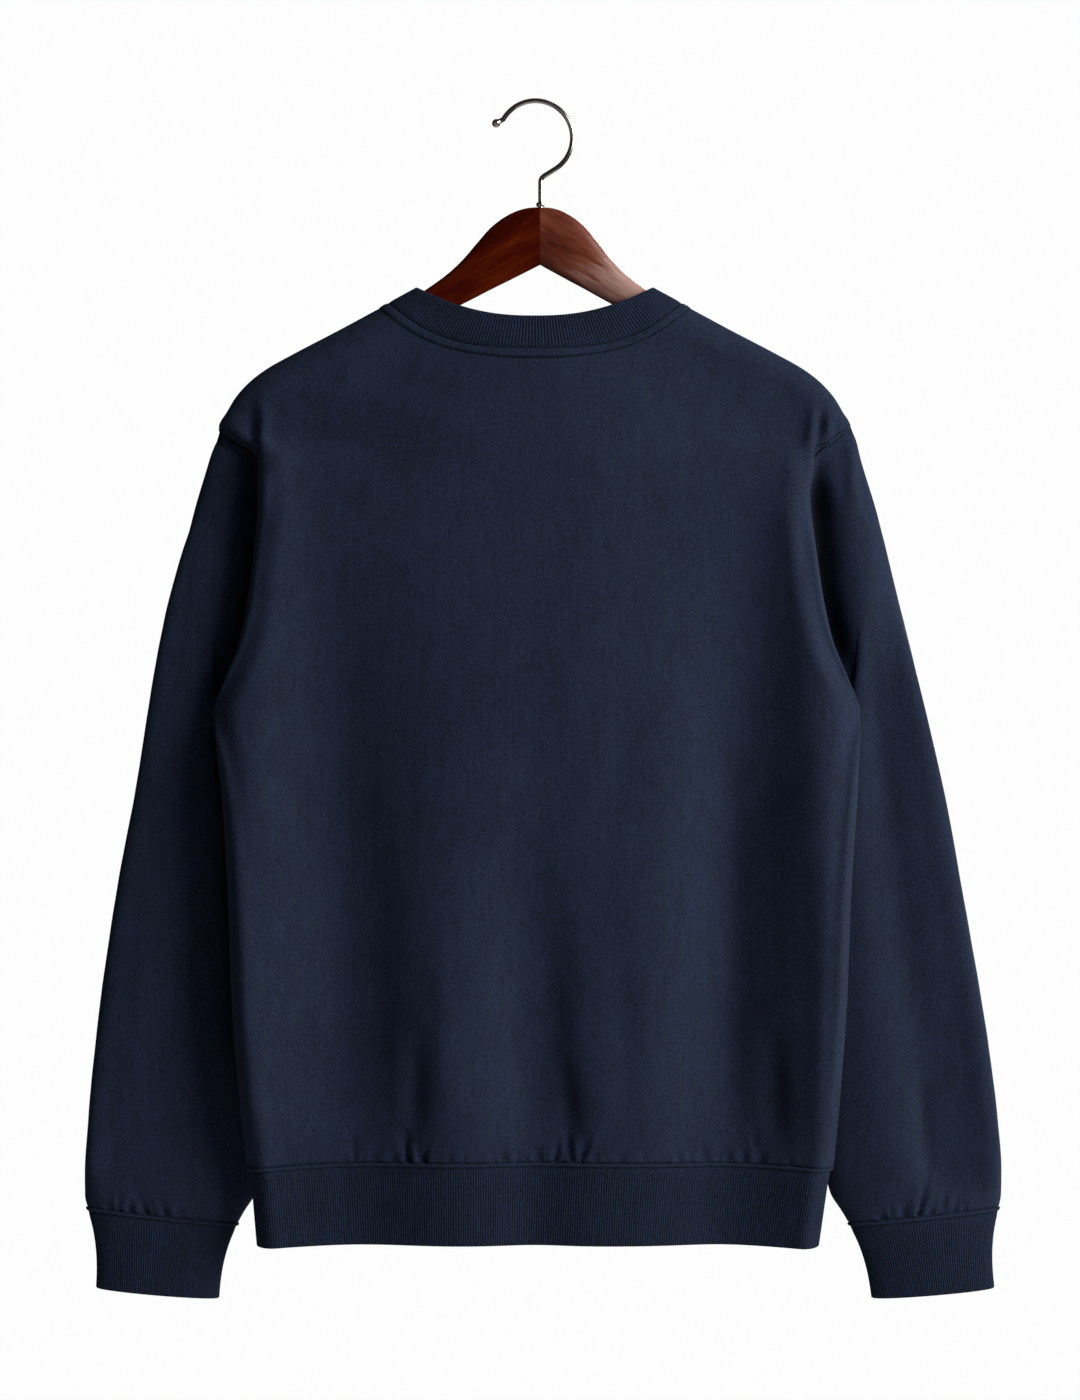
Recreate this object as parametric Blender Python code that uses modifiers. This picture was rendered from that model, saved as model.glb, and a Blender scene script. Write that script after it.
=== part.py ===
"""Crewneck sweatshirt on a wooden hanger, hanging by its wire hook.

Metres, +Z up. The origin is the underside of the top of the hook, where the hanger bears on what
holds it. The garment's back faces -Y and its front +Y; the wearer's left sleeve is at -X.

Each cloth piece is a wall between an outer skin and an inner skin. The skins are rows of points worked
out from sections of the garment, and neighbouring pieces share the same points along their seam.
Sizes below are in millimetres.
"""
import math

import bmesh
import bpy
import numpy as np

COLLECTION = "crewneck_sweatshirt_on_hanger"
MM = 0.001

# Cloth
FLEECE = 2.0            # wall of the back, front and sleeves
RIB_WALL = 2.6          # folded rib knit, without its raised ribs
SEAM_GAP = 0.3          # between pieces that are sewn together
RIB_PITCH = 2.4
RIB_HEIGHT = 0.6
RIB_END = 2.0           # the ribs run out this far from the two edges of a band
BACK, FRONT = -1, 1     # the side of the garment, which is also the sign of its Y

# Heights where the outline changes
HEM_SEAM_Z = -818.0
UNDERARM_Z = -467.0
TIP_Z = -248.6          # outer end of the shoulder seam
NECK_Z = -154.4         # inner end of the shoulder seam

GATHER_ROW = 1          # the row of a panel, counted from the hem, that stands out in puckers
SWELL_END = 0.9         # share of the half width over which a panel swells from its edge to its middle
DRAWN_IN_HEIGHT = 60.0  # the hem draws the folds in from this far above its seam
SLEEVE_ROUNDING = 0.85  # 1 is an ellipse, less is fuller

# The edge of the body from the hem up the side, armhole and shoulder seam. half is the half width of
# the outline, depth its Y, roll_x the reach of the rolled edge across, roll_y its reach towards the
# viewer's side, behind its reach past the edge, and turn the angle on that roll where the back panel's
# seam lies: below zero it is behind the edge.
EDGE_TABLE = (
    # z,    half, depth, roll_x, roll_y, behind, turn
    (-821.0, 224.9, -7.0, 18.0, 15.0, 9.0, -20.0),
    (-768.0, 230.0, -9.0, 22.0, 18.0, 8.0, -25.0),
    (-690.0, 235.2, -13.0, 24.0, 18.0, 7.0, -30.0),
    (-614.0, 238.0, -14.0, 24.0, 18.0, 6.0, -35.0),
    (-552.0, 241.5, -14.0, 24.0, 18.0, 7.0, -45.0),
    (-502.0, 245.0, -14.0, 22.0, 16.0, 13.0, -60.0),
    (-480.0, 246.5, -13.0, 20.0, 15.0, 20.0, -75.0),
    (-467.0, 247.0, -12.0, 20.0, 15.0, 24.0, -85.0),
    (-460.0, 244.9, -12.0, 20.0, 15.0, 23.5, -78.0),
    (-441.0, 237.0, -12.0, 22.0, 16.0, 20.0, -65.0),
    (-412.0, 226.0, -12.0, 24.0, 17.0, 18.0, -55.0),
    (-377.0, 219.2, -12.0, 24.0, 18.0, 16.0, -50.0),
    (-339.0, 214.4, -12.0, 24.0, 18.0, 16.0, -50.0),
    (-303.0, 211.6, -11.0, 24.0, 17.0, 16.0, -40.0),
    (-274.0, 214.0, -8.0, 24.0, 15.0, 14.0, -8.0),
    (-255.2, 237.0, -1.5, 26.0, 13.0, 13.0, 6.0),
    (-248.6, 243.2, 0.0, 26.0, 13.0, 13.0, 0.0),
    (-238.0, 237.4, 0.0, 26.0, 13.5, 13.5, 0.0),
    (-227.0, 230.8, 0.0, 26.0, 14.0, 14.0, 0.0),
    (-215.0, 220.0, 0.0, 26.0, 15.0, 15.0, 0.0),
    (-204.7, 206.5, 0.0, 26.0, 15.0, 15.0, 0.0),
    (-193.5, 186.5, 0.0, 26.0, 15.5, 15.5, 0.0),
    (-176.0, 153.0, 0.0, 26.0, 17.0, 17.0, 0.0),
    (-154.4, 113.0, 0.0, 26.0, 19.0, 19.0, 0.0),
)
EDGE_COLUMNS = ("z", "half", "depth", "roll_x", "roll_y", "behind", "turn")
# The front panel's edge along the armhole, which lies farther back than the back panel's. A turn near
# 60 means that the panel runs into the sleeve almost flat. Elsewhere the two panels share their edge.
FRONT_ARMHOLE = (
    # z,    half, depth, roll_x, roll_y, turn
    (-467.0, 247.0, -12.0, 20.0, 24.0, 85.0),
    (-460.0, 241.0, -6.0, 20.0, 23.5, 76.0),
    (-441.0, 234.5, -1.0, 22.0, 26.0, 67.0),
    (-412.0, 228.0, 4.0, 24.0, 25.0, 60.0),
    (-377.0, 224.0, 7.0, 24.0, 21.0, 58.0),
    (-339.0, 220.0, 8.0, 24.0, 18.0, 58.0),
    (-303.0, 218.0, 6.0, 24.0, 18.0, 50.0),
    (-274.0, 221.0, 3.0, 24.0, 15.0, 30.0),
    (-255.2, 237.0, 1.0, 26.0, 13.0, 10.0),
    (-248.6, 243.2, 0.0, 26.0, 13.0, 0.0),
)
FRONT_COLUMNS = ("z", "half", "depth", "roll_x", "roll_y", "turn")

# The middle of each row of a panel: sag is how far it drops below the row's ends, depth how far it
# stands out, and shelf the share of the half width that stays flat beside the rolled edge.
BACK_MIDDLE = (
    # z,    sag, depth, shelf
    (-821.0, -5.5, 32.0, 0.0),
    (-760.0, -2.0, 40.0, 0.0),
    (-614.0, 0.0, 46.0, 0.0),
    (-467.0, 0.0, 45.0, 0.0),
    (-377.0, 1.0, 42.0, 0.0),
    (-303.0, 3.0, 38.0, 0.0),
    (-248.6, 6.0, 34.0, 0.0),
    (-204.7, 20.6, 30.0, 0.0),
    (-154.4, 36.6, 27.0, 0.0),
)
FRONT_MIDDLE = (
    (-821.0, -5.5, 24.0, 0.05),
    (-760.0, -2.0, 28.0, 0.10),
    (-614.0, 0.0, 30.0, 0.13),
    (-487.0, 3.0, 31.0, 0.12),
    (-441.0, 6.0, 31.0, 0.06),
    (-377.0, 14.0, 32.0, 0.0),
    (-303.0, 26.0, 32.0, 0.0),
    (-248.6, 36.0, 31.0, 0.0),
    (-227.0, 43.0, 30.0, 0.0),
    (-204.7, 54.0, 29.0, 0.0),
    (-176.0, 72.0, 28.0, 0.0),
    (-154.4, 86.0, 27.0, 0.0),
)
MIDDLE_COLUMNS = ("z", "sag", "depth", "shelf")

# The middle of the garment, which hangs a little to the right as it goes down.
DRIFT = ((-921.0, 6.8), (-821.0, 3.6), (-552.0, 3.6), (-467.0, 1.2), (-248.6, -0.5), (-140.0, -0.5))
SLEEVE_DRIFT = ((-921.0, 0.9), (-860.0, 1.5), (-820.0, 2.5), (-600.0, 0.0), (-467.0, 0.0), (-248.6, 0.0))

# Soft vertical folds: a trough has a positive depth and a ridge a negative one. top is where the fold
# starts to show and full where it has its depth.
BACK_FOLDS = (
    # x_top, x_foot,  top,   full,  half_width, depth
    (-154.0, -139.0, -290.0, -570.0, 42.0, 14.0),
    (-10.0, 1.0, -450.0, -710.0, 31.0, 13.0),
    (158.0, 150.0, -280.0, -600.0, 37.0, 16.0),
    (-214.0, -214.0, -236.0, -320.0, 32.0, -7.0),
    (214.0, 222.0, -262.0, -340.0, 31.0, -13.0),
    (-68.0, -66.0, -520.0, -780.0, 34.0, -4.0),
    (62.0, 70.0, -520.0, -780.0, 44.0, -3.0),
)
FRONT_FOLDS = (
    (-62.0, -70.0, -500.0, -790.0, 26.0, 9.0),
    (70.0, 82.0, -460.0, -780.0, 28.0, 10.0),
    (-128.0, -120.0, -420.0, -770.0, 26.0, -4.0),
    (4.0, 6.0, -420.0, -780.0, 34.0, -6.0),
    (134.0, 140.0, -430.0, -770.0, 24.0, -4.0),
)
FOLD_AT_SEAM = 0.55     # share of a fold's depth that is left where the rib draws the cloth in

# Groups of puckers above the rib seams: the places of the first and the last, how many, and how proud.
BACK_GATHERS = (
    # first, last, count, height
    (-147.0, -125.0, 4, 0.9),
    (-110.0, -86.0, 4, 2.0),
    (-31.0, 3.0, 5, 1.0),
    (15.0, 34.0, 3, 1.9),
    (63.0, 70.0, 2, 0.9),
    (108.0, 136.0, 5, 1.2),
    (144.0, 173.0, 5, 1.5),
)
FRONT_GATHERS = (
    (-166.0, -140.0, 4, 1.4),
    (-92.0, -66.0, 5, 1.7),
    (-20.0, 12.0, 5, 1.0),
    (56.0, 80.0, 4, 1.9),
    (118.0, 150.0, 5, 1.3),
)
SLEEVE_GATHERS = 15     # evenly round the sleeve at the cuff seam
SLEEVE_GATHER_HEIGHT = 1.3

# Columns of points across a panel, and rows up it
ROLL_STEPS = 4
MIDDLE_STEPS = 18
ARMHOLE_STEPS = 9
SIDE_ROWS = (-821.0, -814.0, -800.0, -765.0, -700.0, -630.0, -560.0, -510.0, -483.0)
SHOULDER_ROWS = (-238.0, -227.0, -213.0, -193.5, -176.0, -154.4)
FINE_PER_STEP = 8       # points of a gathered row for each column of a panel
FINE_PER_SLEEVE_STEP = 5

# The sleeves: the outer and the inner line of each section, and its half thickness
SLEEVE_SECTIONS = (
    # out_x,  out_y,  out_z,  in_x,  in_y,   in_z, thick
    (264.0, 12.0, -315.0, 238.0, 24.0, -482.0, 19.0),
    (278.3, 18.0, -370.0, 226.0, 28.0, -515.0, 22.0),
    (290.8, 22.5, -420.0, 213.0, 30.0, -552.0, 24.0),
    (302.7, 26.0, -475.0, 203.0, 30.0, -597.0, 24.0),
    (315.0, 28.0, -535.0, 198.0, 29.5, -642.0, 24.0),
    (327.5, 28.5, -600.0, 198.0, 29.0, -684.0, 23.0),
    (338.3, 27.5, -665.0, 203.0, 28.0, -727.0, 22.0),
    (346.8, 26.0, -725.0, 209.0, 26.0, -768.0, 21.0),
    (353.4, 24.0, -785.0, 216.0, 24.0, -808.0, 19.0),
    (356.0, 22.0, -826.0, 223.0, 22.0, -842.0, 18.0),
    (355.6, 21.0, -844.5, 232.5, 21.0, -857.5, 17.0),
    (353.8, 20.0, -852.5, 236.8, 20.0, -865.0, 15.0),
)
CUFF_END = (348.0, 19.0, -915.5, 253.5, 19.0, -923.5, 14.0)
SECTION_COLUMNS = ("out_x", "out_y", "out_z", "in_x", "in_y", "in_z", "thick")
SLEEVE_HEAD_SHARES = (0.4,)     # rings between the armhole and the first section

# Hem band: its lower edge is drawn in
HEM_BOTTOM_Z = -879.0    # at the sides
HEM_FOLLOWS = 0.6        # between them it follows the seam by this share
HEM_BOTTOM_SHRINK = 0.956
HEM_BOTTOM_X = 1.8      # middle of its lower edge

# Neckband: its top edge, worked out as a panel's row is
NECK_TOP_HALF = 90.5
NECK_TOP_Z = -142.2
NECK_TOP_DEPTH = 24.0
NECK_TOP_SAG = {BACK: 23.8, FRONT: 71.0}
NECK_SAG_POWER = 2.4
NECK_DEPTH_POWER = 4

# Hanger: two flat wooden arms that meet under the hook
HANGER_X = 3.5
ARM_THICKNESS = 12.0
ARM_SIDES = 12
ARM_ROUNDING = 0.7      # 1 is an ellipse, towards 0 a square bar
ARM_LEAN = 4.0          # the arms hang this far off the joint's middle, from ARM_LEAN_REACH out
ARM_LEAN_REACH = 100.0
ARM_SECTIONS = (
    # reach, top, bottom, share of the thickness
    (0.15, -80.1, -124.7, 1.0),
    (8.0, -80.6, -128.9, 1.0),
    (16.0, -82.6, -133.1, 1.0),
    (25.0, -87.0, -137.8, 1.0),
    (36.0, -95.4, -143.4, 1.0),
    (46.0, -107.0, -148.8, 1.0),
    (57.0, -120.4, -154.6, 1.0),
    (67.0, -130.3, -160.0, 1.0),
    (85.0, -144.0, -170.4, 1.0),
    (110.0, -160.4, -184.5, 1.0),
    (140.0, -174.2, -197.5, 0.97),
    (186.0, -198.2, -220.5, 0.95),
    (206.0, -210.2, -231.5, 0.92),
    (216.0, -218.6, -236.5, 0.85),
    (221.0, -225.0, -236.0, 0.55),
)

# Hook: wire bent round a circle that bears on its support at the origin
WIRE_RADIUS = 1.9
HOOK_RADIUS = 28.5
HOOK_START = 150.0      # degrees, beside the ball end
HOOK_END = -58.0
SHANK_X = 4.0
SHANK_BEND = 6.0
SHANK_FOOT_Z = -93.0
BALL_REACH = 7.0        # from the end of the wire's arc to the middle of its ball end
BALL_HEADING = np.array((-0.80, -0.45))
BALL_PROFILE = (
    # share of BALL_REACH, times the wire's radius
    (1.42, 0.35),
    (1.32, 1.15),
    (1.12, 1.6),
    (0.88, 1.68),
    (0.62, 1.35),
    (0.48, 1.0),
)
FERRULE_PROFILE = ((4.5, -77.2), (4.9, -78.2), (4.9, -79.7), (2.25, -79.7), (2.25, -77.2))
ROUND_STEPS = 16
BEND_STEPS = 3
HOLE_SIDES = 12
HOLE_CLEARANCE = 0.35   # round the shank
HOLE_DEPTH = 30.0
HOLE_FLOOR_GAP = 0.6    # below the shank's foot


def monotone_curve(heights, values):
    """Smooth curve through the points, which never swings past them (Fritsch and Carlson)."""
    heights = np.asarray(heights, float)
    values = np.asarray(values, float)
    step = np.diff(heights)
    slope = np.diff(values) / step
    tangent = np.zeros_like(values)
    tangent[0], tangent[-1] = slope[0], slope[-1]
    same_way = slope[:-1] * slope[1:] > 0
    before = 2 * step[1:] + step[:-1]
    after = step[1:] + 2 * step[:-1]
    safe_low = np.where(same_way, slope[:-1], 1.0)
    safe_high = np.where(same_way, slope[1:], 1.0)
    mean = (before + after) / (before / safe_low + after / safe_high)
    tangent[1:-1] = np.where(same_way, mean, 0.0)

    def evaluate(height):
        index = int(np.clip(np.searchsorted(heights, height) - 1, 0, len(step) - 1))
        t = (height - heights[index]) / step[index]
        t = min(max(t, 0.0), 1.0)
        rise = values[index + 1] - values[index]
        blend = t * t * (3 - 2 * t)
        start = t * (1 - t) * (1 - t) * tangent[index] * step[index]
        end = t * t * (t - 1) * tangent[index + 1] * step[index]
        return values[index] + rise * blend + start + end

    return evaluate


def table_curves(table, columns):
    """One smooth curve against the first column for every other column of a table."""
    rows = sorted(table)
    heights = [row[0] for row in rows]
    return {name: monotone_curve(heights, [row[i] for row in rows]) for i, name in enumerate(columns) if i}


EDGE = table_curves(EDGE_TABLE, EDGE_COLUMNS)
FRONT_EDGE = table_curves(FRONT_ARMHOLE, FRONT_COLUMNS)
MIDDLE = {BACK: table_curves(BACK_MIDDLE, MIDDLE_COLUMNS), FRONT: table_curves(FRONT_MIDDLE, MIDDLE_COLUMNS)}
FOLDS = {BACK: BACK_FOLDS, FRONT: FRONT_FOLDS}
GATHERS = {BACK: BACK_GATHERS, FRONT: FRONT_GATHERS}
drift_at = monotone_curve(*zip(*DRIFT))
sleeve_drift_at = monotone_curve(*zip(*SLEEVE_DRIFT))


def smooth_step(value):
    value = np.clip(value, 0.0, 1.0)
    return value * value * (3 - 2 * value)


def unit(vectors):
    return vectors / np.maximum(np.linalg.norm(vectors, axis=-1, keepdims=True), 1e-9)


# ---------------------------------------------------------------- panels

def fold_depth(face, x, z):
    """How far the soft folds push a point of a panel in (positive) or out (negative)."""
    depth = 0.0
    for x_top, x_foot, top, full, half_width, fold in FOLDS[face]:
        along = np.clip((top - z) / (top - HEM_SEAM_Z), 0.0, 1.0)
        middle = x_top + (x_foot - x_top) * along
        grown = smooth_step((top - z) / (top - full))
        depth += fold * grown * math.exp(-((x - middle) / half_width) ** 2)
    drawn_in = FOLD_AT_SEAM + (1 - FOLD_AT_SEAM) * smooth_step((z - HEM_SEAM_Z) / DRAWN_IN_HEIGHT)
    return depth * drawn_in


def gather_height(face, x):
    """Height of the puckers above the hem seam at a place across a panel."""
    height = 0.0
    for first, last, count, proud in GATHERS[face]:
        pitch = (last - first) / (count - 1)
        if first - pitch / 2 <= x <= last + pitch / 2:
            height += proud * (0.5 + 0.5 * math.cos(2 * math.pi * (x - first) / pitch))
    return height


def edge_values(face, z_edge):
    """Sizes of the rolled edge of one panel at a height."""
    values = {name: curve(z_edge) for name, curve in EDGE.items()}
    if face == FRONT and UNDERARM_Z < z_edge < TIP_Z:
        values.update({name: curve(z_edge) for name, curve in FRONT_EDGE.items()})
    elif face == FRONT:
        values["roll_y"] = values["behind"]
        values["turn"] = -values["turn"]
    return values


def row_places(face, z_edge):
    """Where the columns of a row stand: the angle on the left or right roll, or the place between."""
    turn = math.radians(edge_values(face, z_edge)["turn"])
    roll = [turn + (math.pi / 2 - turn) * i / ROLL_STEPS for i in range(ROLL_STEPS)]
    middle = [-1 + 2 * i / MIDDLE_STEPS for i in range(MIDDLE_STEPS + 1)]
    places = [("left", angle) for angle in roll]
    places += [("middle", place) for place in middle]
    places += [("right", angle) for angle in reversed(roll)]
    return places


def panel_point(face, z_edge, place):
    """One point of a panel's outer skin, on the row that ends at height z_edge."""
    edge = edge_values(face, z_edge)
    kind, value = place
    if kind == "middle":
        across = value * (edge["half"] - edge["roll_x"])
        shelf = MIDDLE[face]["shelf"](z_edge)
        swell = smooth_step((1 - shelf - abs(value)) / (SWELL_END - shelf))
        flat = edge["depth"] + face * edge["roll_y"]
        y = flat + swell * (face * MIDDLE[face]["depth"](z_edge) - flat)
        weight = 1.0
    else:
        side = -1 if kind == "left" else 1
        across = side * (edge["half"] - edge["roll_x"] * (1 - math.cos(value)))
        reach = edge["roll_y"] if value > 0 else edge["behind"]
        y = edge["depth"] + face * reach * math.sin(value)
        weight = max(math.sin(value), 0.0) ** 2
    sag = MIDDLE[face]["sag"](z_edge) * (1 - min(abs(across) / edge["half"], 1.0) ** 3)
    x = drift_at(z_edge) + across
    z = z_edge - sag
    return np.array((x, y - face * weight * fold_depth(face, x, z), z))


def armhole_heights():
    """Heights of the rows that end on the armhole, closest together at its two ends."""
    drop = [(1 - math.cos(math.pi * k / ARMHOLE_STEPS)) / 2 for k in range(ARMHOLE_STEPS + 1)]
    return [TIP_Z + (UNDERARM_Z - TIP_Z) * share for share in drop]


def row_heights():
    return list(SIDE_ROWS) + list(reversed(armhole_heights())) + list(SHOULDER_ROWS)


def panel_grid(face):
    return np.array([[panel_point(face, z, place) for place in row_places(face, z)] for z in row_heights()])


def grid_normals(grid, closed, out_hint):
    """Unit normals of a grid of points, turned to the side that out_hint gives."""
    along = np.gradient(grid, axis=0)
    if closed:
        across = (np.roll(grid, -1, axis=1) - np.roll(grid, 1, axis=1)) / 2
    else:
        across = np.gradient(grid, axis=1)
    normals = unit(np.cross(across, along))
    if np.sum(normals * out_hint) < 0:
        normals = -normals
    return normals


def shared_normal(own, other):
    """Normal of a seam: between those of its two pieces, or its own where they face each other."""
    weight = smooth_step((np.sum(own * other, axis=-1, keepdims=True) + 0.3) / 0.6)
    return unit(own + weight * other)


def fine_places(steps, per_step):
    """Places along a row with each of its steps divided, counted in steps."""
    return [i / per_step for i in range(steps * per_step + 1)]


def interpolate(points, place):
    index = int(place)
    share = place - index
    if share == 0:
        return points[index % len(points)]
    return (1 - share) * points[index % len(points)] + share * points[(index + 1) % len(points)]


# ---------------------------------------------------------------- meshes

class Skin:
    """Rows of points joined into faces. A row is a list of (place, point)."""

    def __init__(self, closed):
        self.mesh = bmesh.new()
        self.closed = closed

    def row(self, points, places=None):
        places = list(range(len(points))) if places is None else places
        return [(place, self.mesh.verts.new(point * MM)) for place, point in zip(places, points)]

    def face(self, verts):
        if len(set(verts)) > 2:
            self.mesh.faces.new(verts)

    def bridge(self, low, high, span):
        """Faces between two rows, which may have different numbers of points."""
        low, high = list(low), list(high)
        if self.closed:
            low.append((low[0][0] + span, low[0][1]))
            high.append((high[0][0] + span, high[0][1]))
        if len(low) == len(high):
            for (_, a), (_, b), (_, c), (_, d) in zip(low, low[1:], high[1:], high):
                self.face((a, b, c, d))
            return
        i = j = 0
        while i < len(low) - 1 or j < len(high) - 1:
            next_low = low[i + 1][0] if i < len(low) - 1 else math.inf
            next_high = high[j + 1][0] if j < len(high) - 1 else math.inf
            if next_low <= next_high:
                self.face((low[i][1], low[i + 1][1], high[j][1]))
                i += 1
            else:
                self.face((low[i][1], high[j + 1][1], high[j][1]))
                j += 1

    def close_wall(self, outer, inner, span):
        """Outer skin, inner skin and the cut edges between them. Rows run from foot to top."""
        loop = outer + inner[::-1]
        for low, high in zip(loop, loop[1:] + loop[:1]):
            self.bridge(low, high, span)
        if not self.closed:
            for end in (0, -1):
                for level in range(len(outer) - 1):
                    corners = (outer[level], outer[level + 1], inner[level + 1], inner[level])
                    self.face([row[end][1] for row in corners])

    def finish(self, name, material, collection, smooth_angle=40.0):
        bmesh.ops.recalc_face_normals(self.mesh, faces=self.mesh.faces)
        data = bpy.data.meshes.new(name)
        self.mesh.to_mesh(data)
        self.mesh.free()
        return add_object(name, data, material, collection, smooth_angle)


def add_object(name, data, material, collection, smooth_angle=40.0):
    obj = bpy.data.objects.new(name, data)
    collection.objects.link(obj)
    data.materials.append(material)
    if isinstance(data, bpy.types.Mesh):
        data.shade_smooth()
        data.set_sharp_from_angle(angle=math.radians(smooth_angle))
    return obj


def make_material(name, colour, roughness, metallic=0.0):
    material = bpy.data.materials.new(name)
    material.use_nodes = True
    shader = material.node_tree.nodes["Principled BSDF"]
    shader.inputs["Base Color"].default_value = (*colour, 1.0)
    shader.inputs["Roughness"].default_value = roughness
    shader.inputs["Metallic"].default_value = metallic
    material.diffuse_color = (*colour, 1.0)
    return material


# ---------------------------------------------------------------- the garment's skins

def sleeve_ring(side, section):
    """Outer points round a sleeve: from its outer line down the back to the inner line and up the front."""
    values = dict(zip(SECTION_COLUMNS, section))
    ring = []
    for k in range(2 * ARMHOLE_STEPS):
        angle = math.pi * k / ARMHOLE_STEPS
        share = (1 - math.cos(angle)) / 2
        z = values["out_z"] + (values["in_z"] - values["out_z"]) * share
        across = values["out_x"] + (values["in_x"] - values["out_x"]) * share
        middle = values["out_y"] + (values["in_y"] - values["out_y"]) * share
        thick = values["thick"] * math.copysign(abs(math.sin(angle)) ** SLEEVE_ROUNDING, math.sin(angle))
        x = side * across + drift_at(z) + sleeve_drift_at(z)
        ring.append((x, middle - thick, z))
    return np.array(ring)


def armhole_ring(side, grids):
    """The seam round an armhole, from the shoulder tip down the back and up the front."""
    first = len(SIDE_ROWS)
    column = 0 if side < 0 else -1
    rows = list(range(first + ARMHOLE_STEPS, first - 1, -1))
    back = [grids[BACK][row][column] for row in rows]
    front = [grids[FRONT][row][column] for row in reversed(rows[1:-1])]
    return np.array(back + front)


def ring_outward(rings):
    return unit(rings - rings.mean(axis=1, keepdims=True))


class Garment:
    """Outer skins and wall directions of all cloth pieces, with their seams agreed."""

    def __init__(self):
        self.grid = {face: panel_grid(face) for face in (BACK, FRONT)}
        self.normal = {}
        for face in (BACK, FRONT):
            hint = np.array((0.0, float(face), 0.0))
            self.normal[face] = grid_normals(self.grid[face], False, hint)
        self.sleeve = {}
        self.sleeve_normal = {}
        for side in (-1, 1):
            armhole = armhole_ring(side, self.grid)
            sections = [sleeve_ring(side, section) for section in SLEEVE_SECTIONS]
            head = [(1 - share) * armhole + share * sections[0] for share in SLEEVE_HEAD_SHARES]
            rings = [armhole, *head, *sections]
            self.sleeve[side] = np.array(rings)
            hint = ring_outward(self.sleeve[side])
            self.sleeve_normal[side] = grid_normals(self.sleeve[side], True, hint)
        self.make_neckband()
        self.agree_seams()

    def neck_seam(self):
        """The neckline round both panels, anticlockwise from the left shoulder along the back."""
        return np.vstack((self.grid[BACK][-1], self.grid[FRONT][-1][-2:0:-1]))

    def make_neckband(self):
        top = []
        seam = self.neck_seam()
        columns = len(self.grid[BACK][-1])
        for index, point in enumerate(seam):
            face = BACK if index < columns else FRONT
            share = (point[0] - drift_at(NECK_Z)) / EDGE["half"](NECK_Z)
            share = max(-1.0, min(1.0, share))
            x = drift_at(NECK_Z) + NECK_TOP_HALF * share
            y = face * NECK_TOP_DEPTH * math.sqrt(max(0.0, 1 - abs(share) ** NECK_DEPTH_POWER))
            z = NECK_TOP_Z - NECK_TOP_SAG[face] * (1 - abs(share) ** NECK_SAG_POWER)
            top.append((x, y, z))
        self.neck = np.array((seam, np.array(top)))
        self.neck_normal = grid_normals(self.neck, True, ring_outward(self.neck))

    def agree_seams(self):
        back, front = self.normal[BACK], self.normal[FRONT]
        first = len(SIDE_ROWS)
        armhole = range(first + 1, first + ARMHOLE_STEPS)
        for column, side in ((0, -1), (-1, 1)):
            for row in range(len(back)):
                if row not in armhole:
                    back[row][column] = front[row][column] = unit(back[row][column] + front[row][column])
            ring = self.sleeve_normal[side][0].copy()
            for k in range(2 * ARMHOLE_STEPS):
                level = k if k <= ARMHOLE_STEPS else 2 * ARMHOLE_STEPS - k
                normal = back if k <= ARMHOLE_STEPS else front
                row = first + ARMHOLE_STEPS - level
                panel_own = normal[row][column].copy()
                self.sleeve_normal[side][0][k] = shared_normal(ring[k], panel_own)
                if row in armhole:
                    normal[row][column] = shared_normal(panel_own, ring[k])
            flatten_to_plane(self.sleeve_normal[side][-1], self.sleeve[side][-1])
        for face in (BACK, FRONT):
            level = self.normal[face][0]
            level[:, 2] = 0.0
            self.normal[face][0] = unit(level)
        self.agree_neck()

    def agree_neck(self):
        """The neckline's normals belong to the neckband and to both panels."""
        columns = len(self.normal[BACK][-1])
        panels = np.vstack((self.normal[BACK][-1], self.normal[FRONT][-1][-2:0:-1]))
        shared = unit(panels + self.neck_normal[0])
        self.neck_normal[0] = shared
        self.normal[BACK][-1] = shared[:columns]
        self.normal[FRONT][-1][1:-1] = shared[columns:][::-1]
        self.normal[FRONT][-1][0] = shared[0]
        self.normal[FRONT][-1][-1] = shared[columns - 1]


def flatten_to_plane(normals, ring):
    """Take out of a ring's normals the part that leaves the ring's plane."""
    centre = ring.mean(axis=0)
    _, _, axes = np.linalg.svd(ring - centre)
    axis = axes[2]
    normals[:] = unit(normals - np.outer(normals @ axis, axis))


def pull_back(grid, half_gap, closed):
    """Draw the cut edges of a piece back by half of the seam's gap."""
    drawn = grid.copy()
    drawn[0] += half_gap * unit(grid[1] - grid[0])
    drawn[-1] += half_gap * unit(grid[-2] - grid[-1])
    if not closed:
        drawn[:, 0] += half_gap * unit(grid[:, 1] - grid[:, 0])
        drawn[:, -1] += half_gap * unit(grid[:, -2] - grid[:, -1])
    return drawn


# ---------------------------------------------------------------- cloth pieces

def build_panel(face, garment, name, material, collection):
    grid = pull_back(garment.grid[face], SEAM_GAP / 2, closed=False)
    normal = garment.normal[face]
    grid[0, :, 2] = garment.grid[face][0, :, 2] + SEAM_GAP / 2
    skin = Skin(closed=False)
    outer = []
    for level, row in enumerate(grid):
        if level != GATHER_ROW:
            outer.append(skin.row(row))
            continue
        last = len(row) - 1
        places, raised = [], []
        for place in fine_places(last, FINE_PER_STEP):
            if ROLL_STEPS <= place <= last - ROLL_STEPS or place == int(place):
                point = interpolate(row, place)
                proud = gather_height(face, point[0])
                places.append(place)
                raised.append(point + proud * interpolate(normal[level], place))
        outer.append(skin.row(raised, places))
    inner = [skin.row(row) for row in grid - FLEECE * normal]
    skin.close_wall(outer, inner, span=grid.shape[1])
    return skin.finish(name, material, collection)


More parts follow.
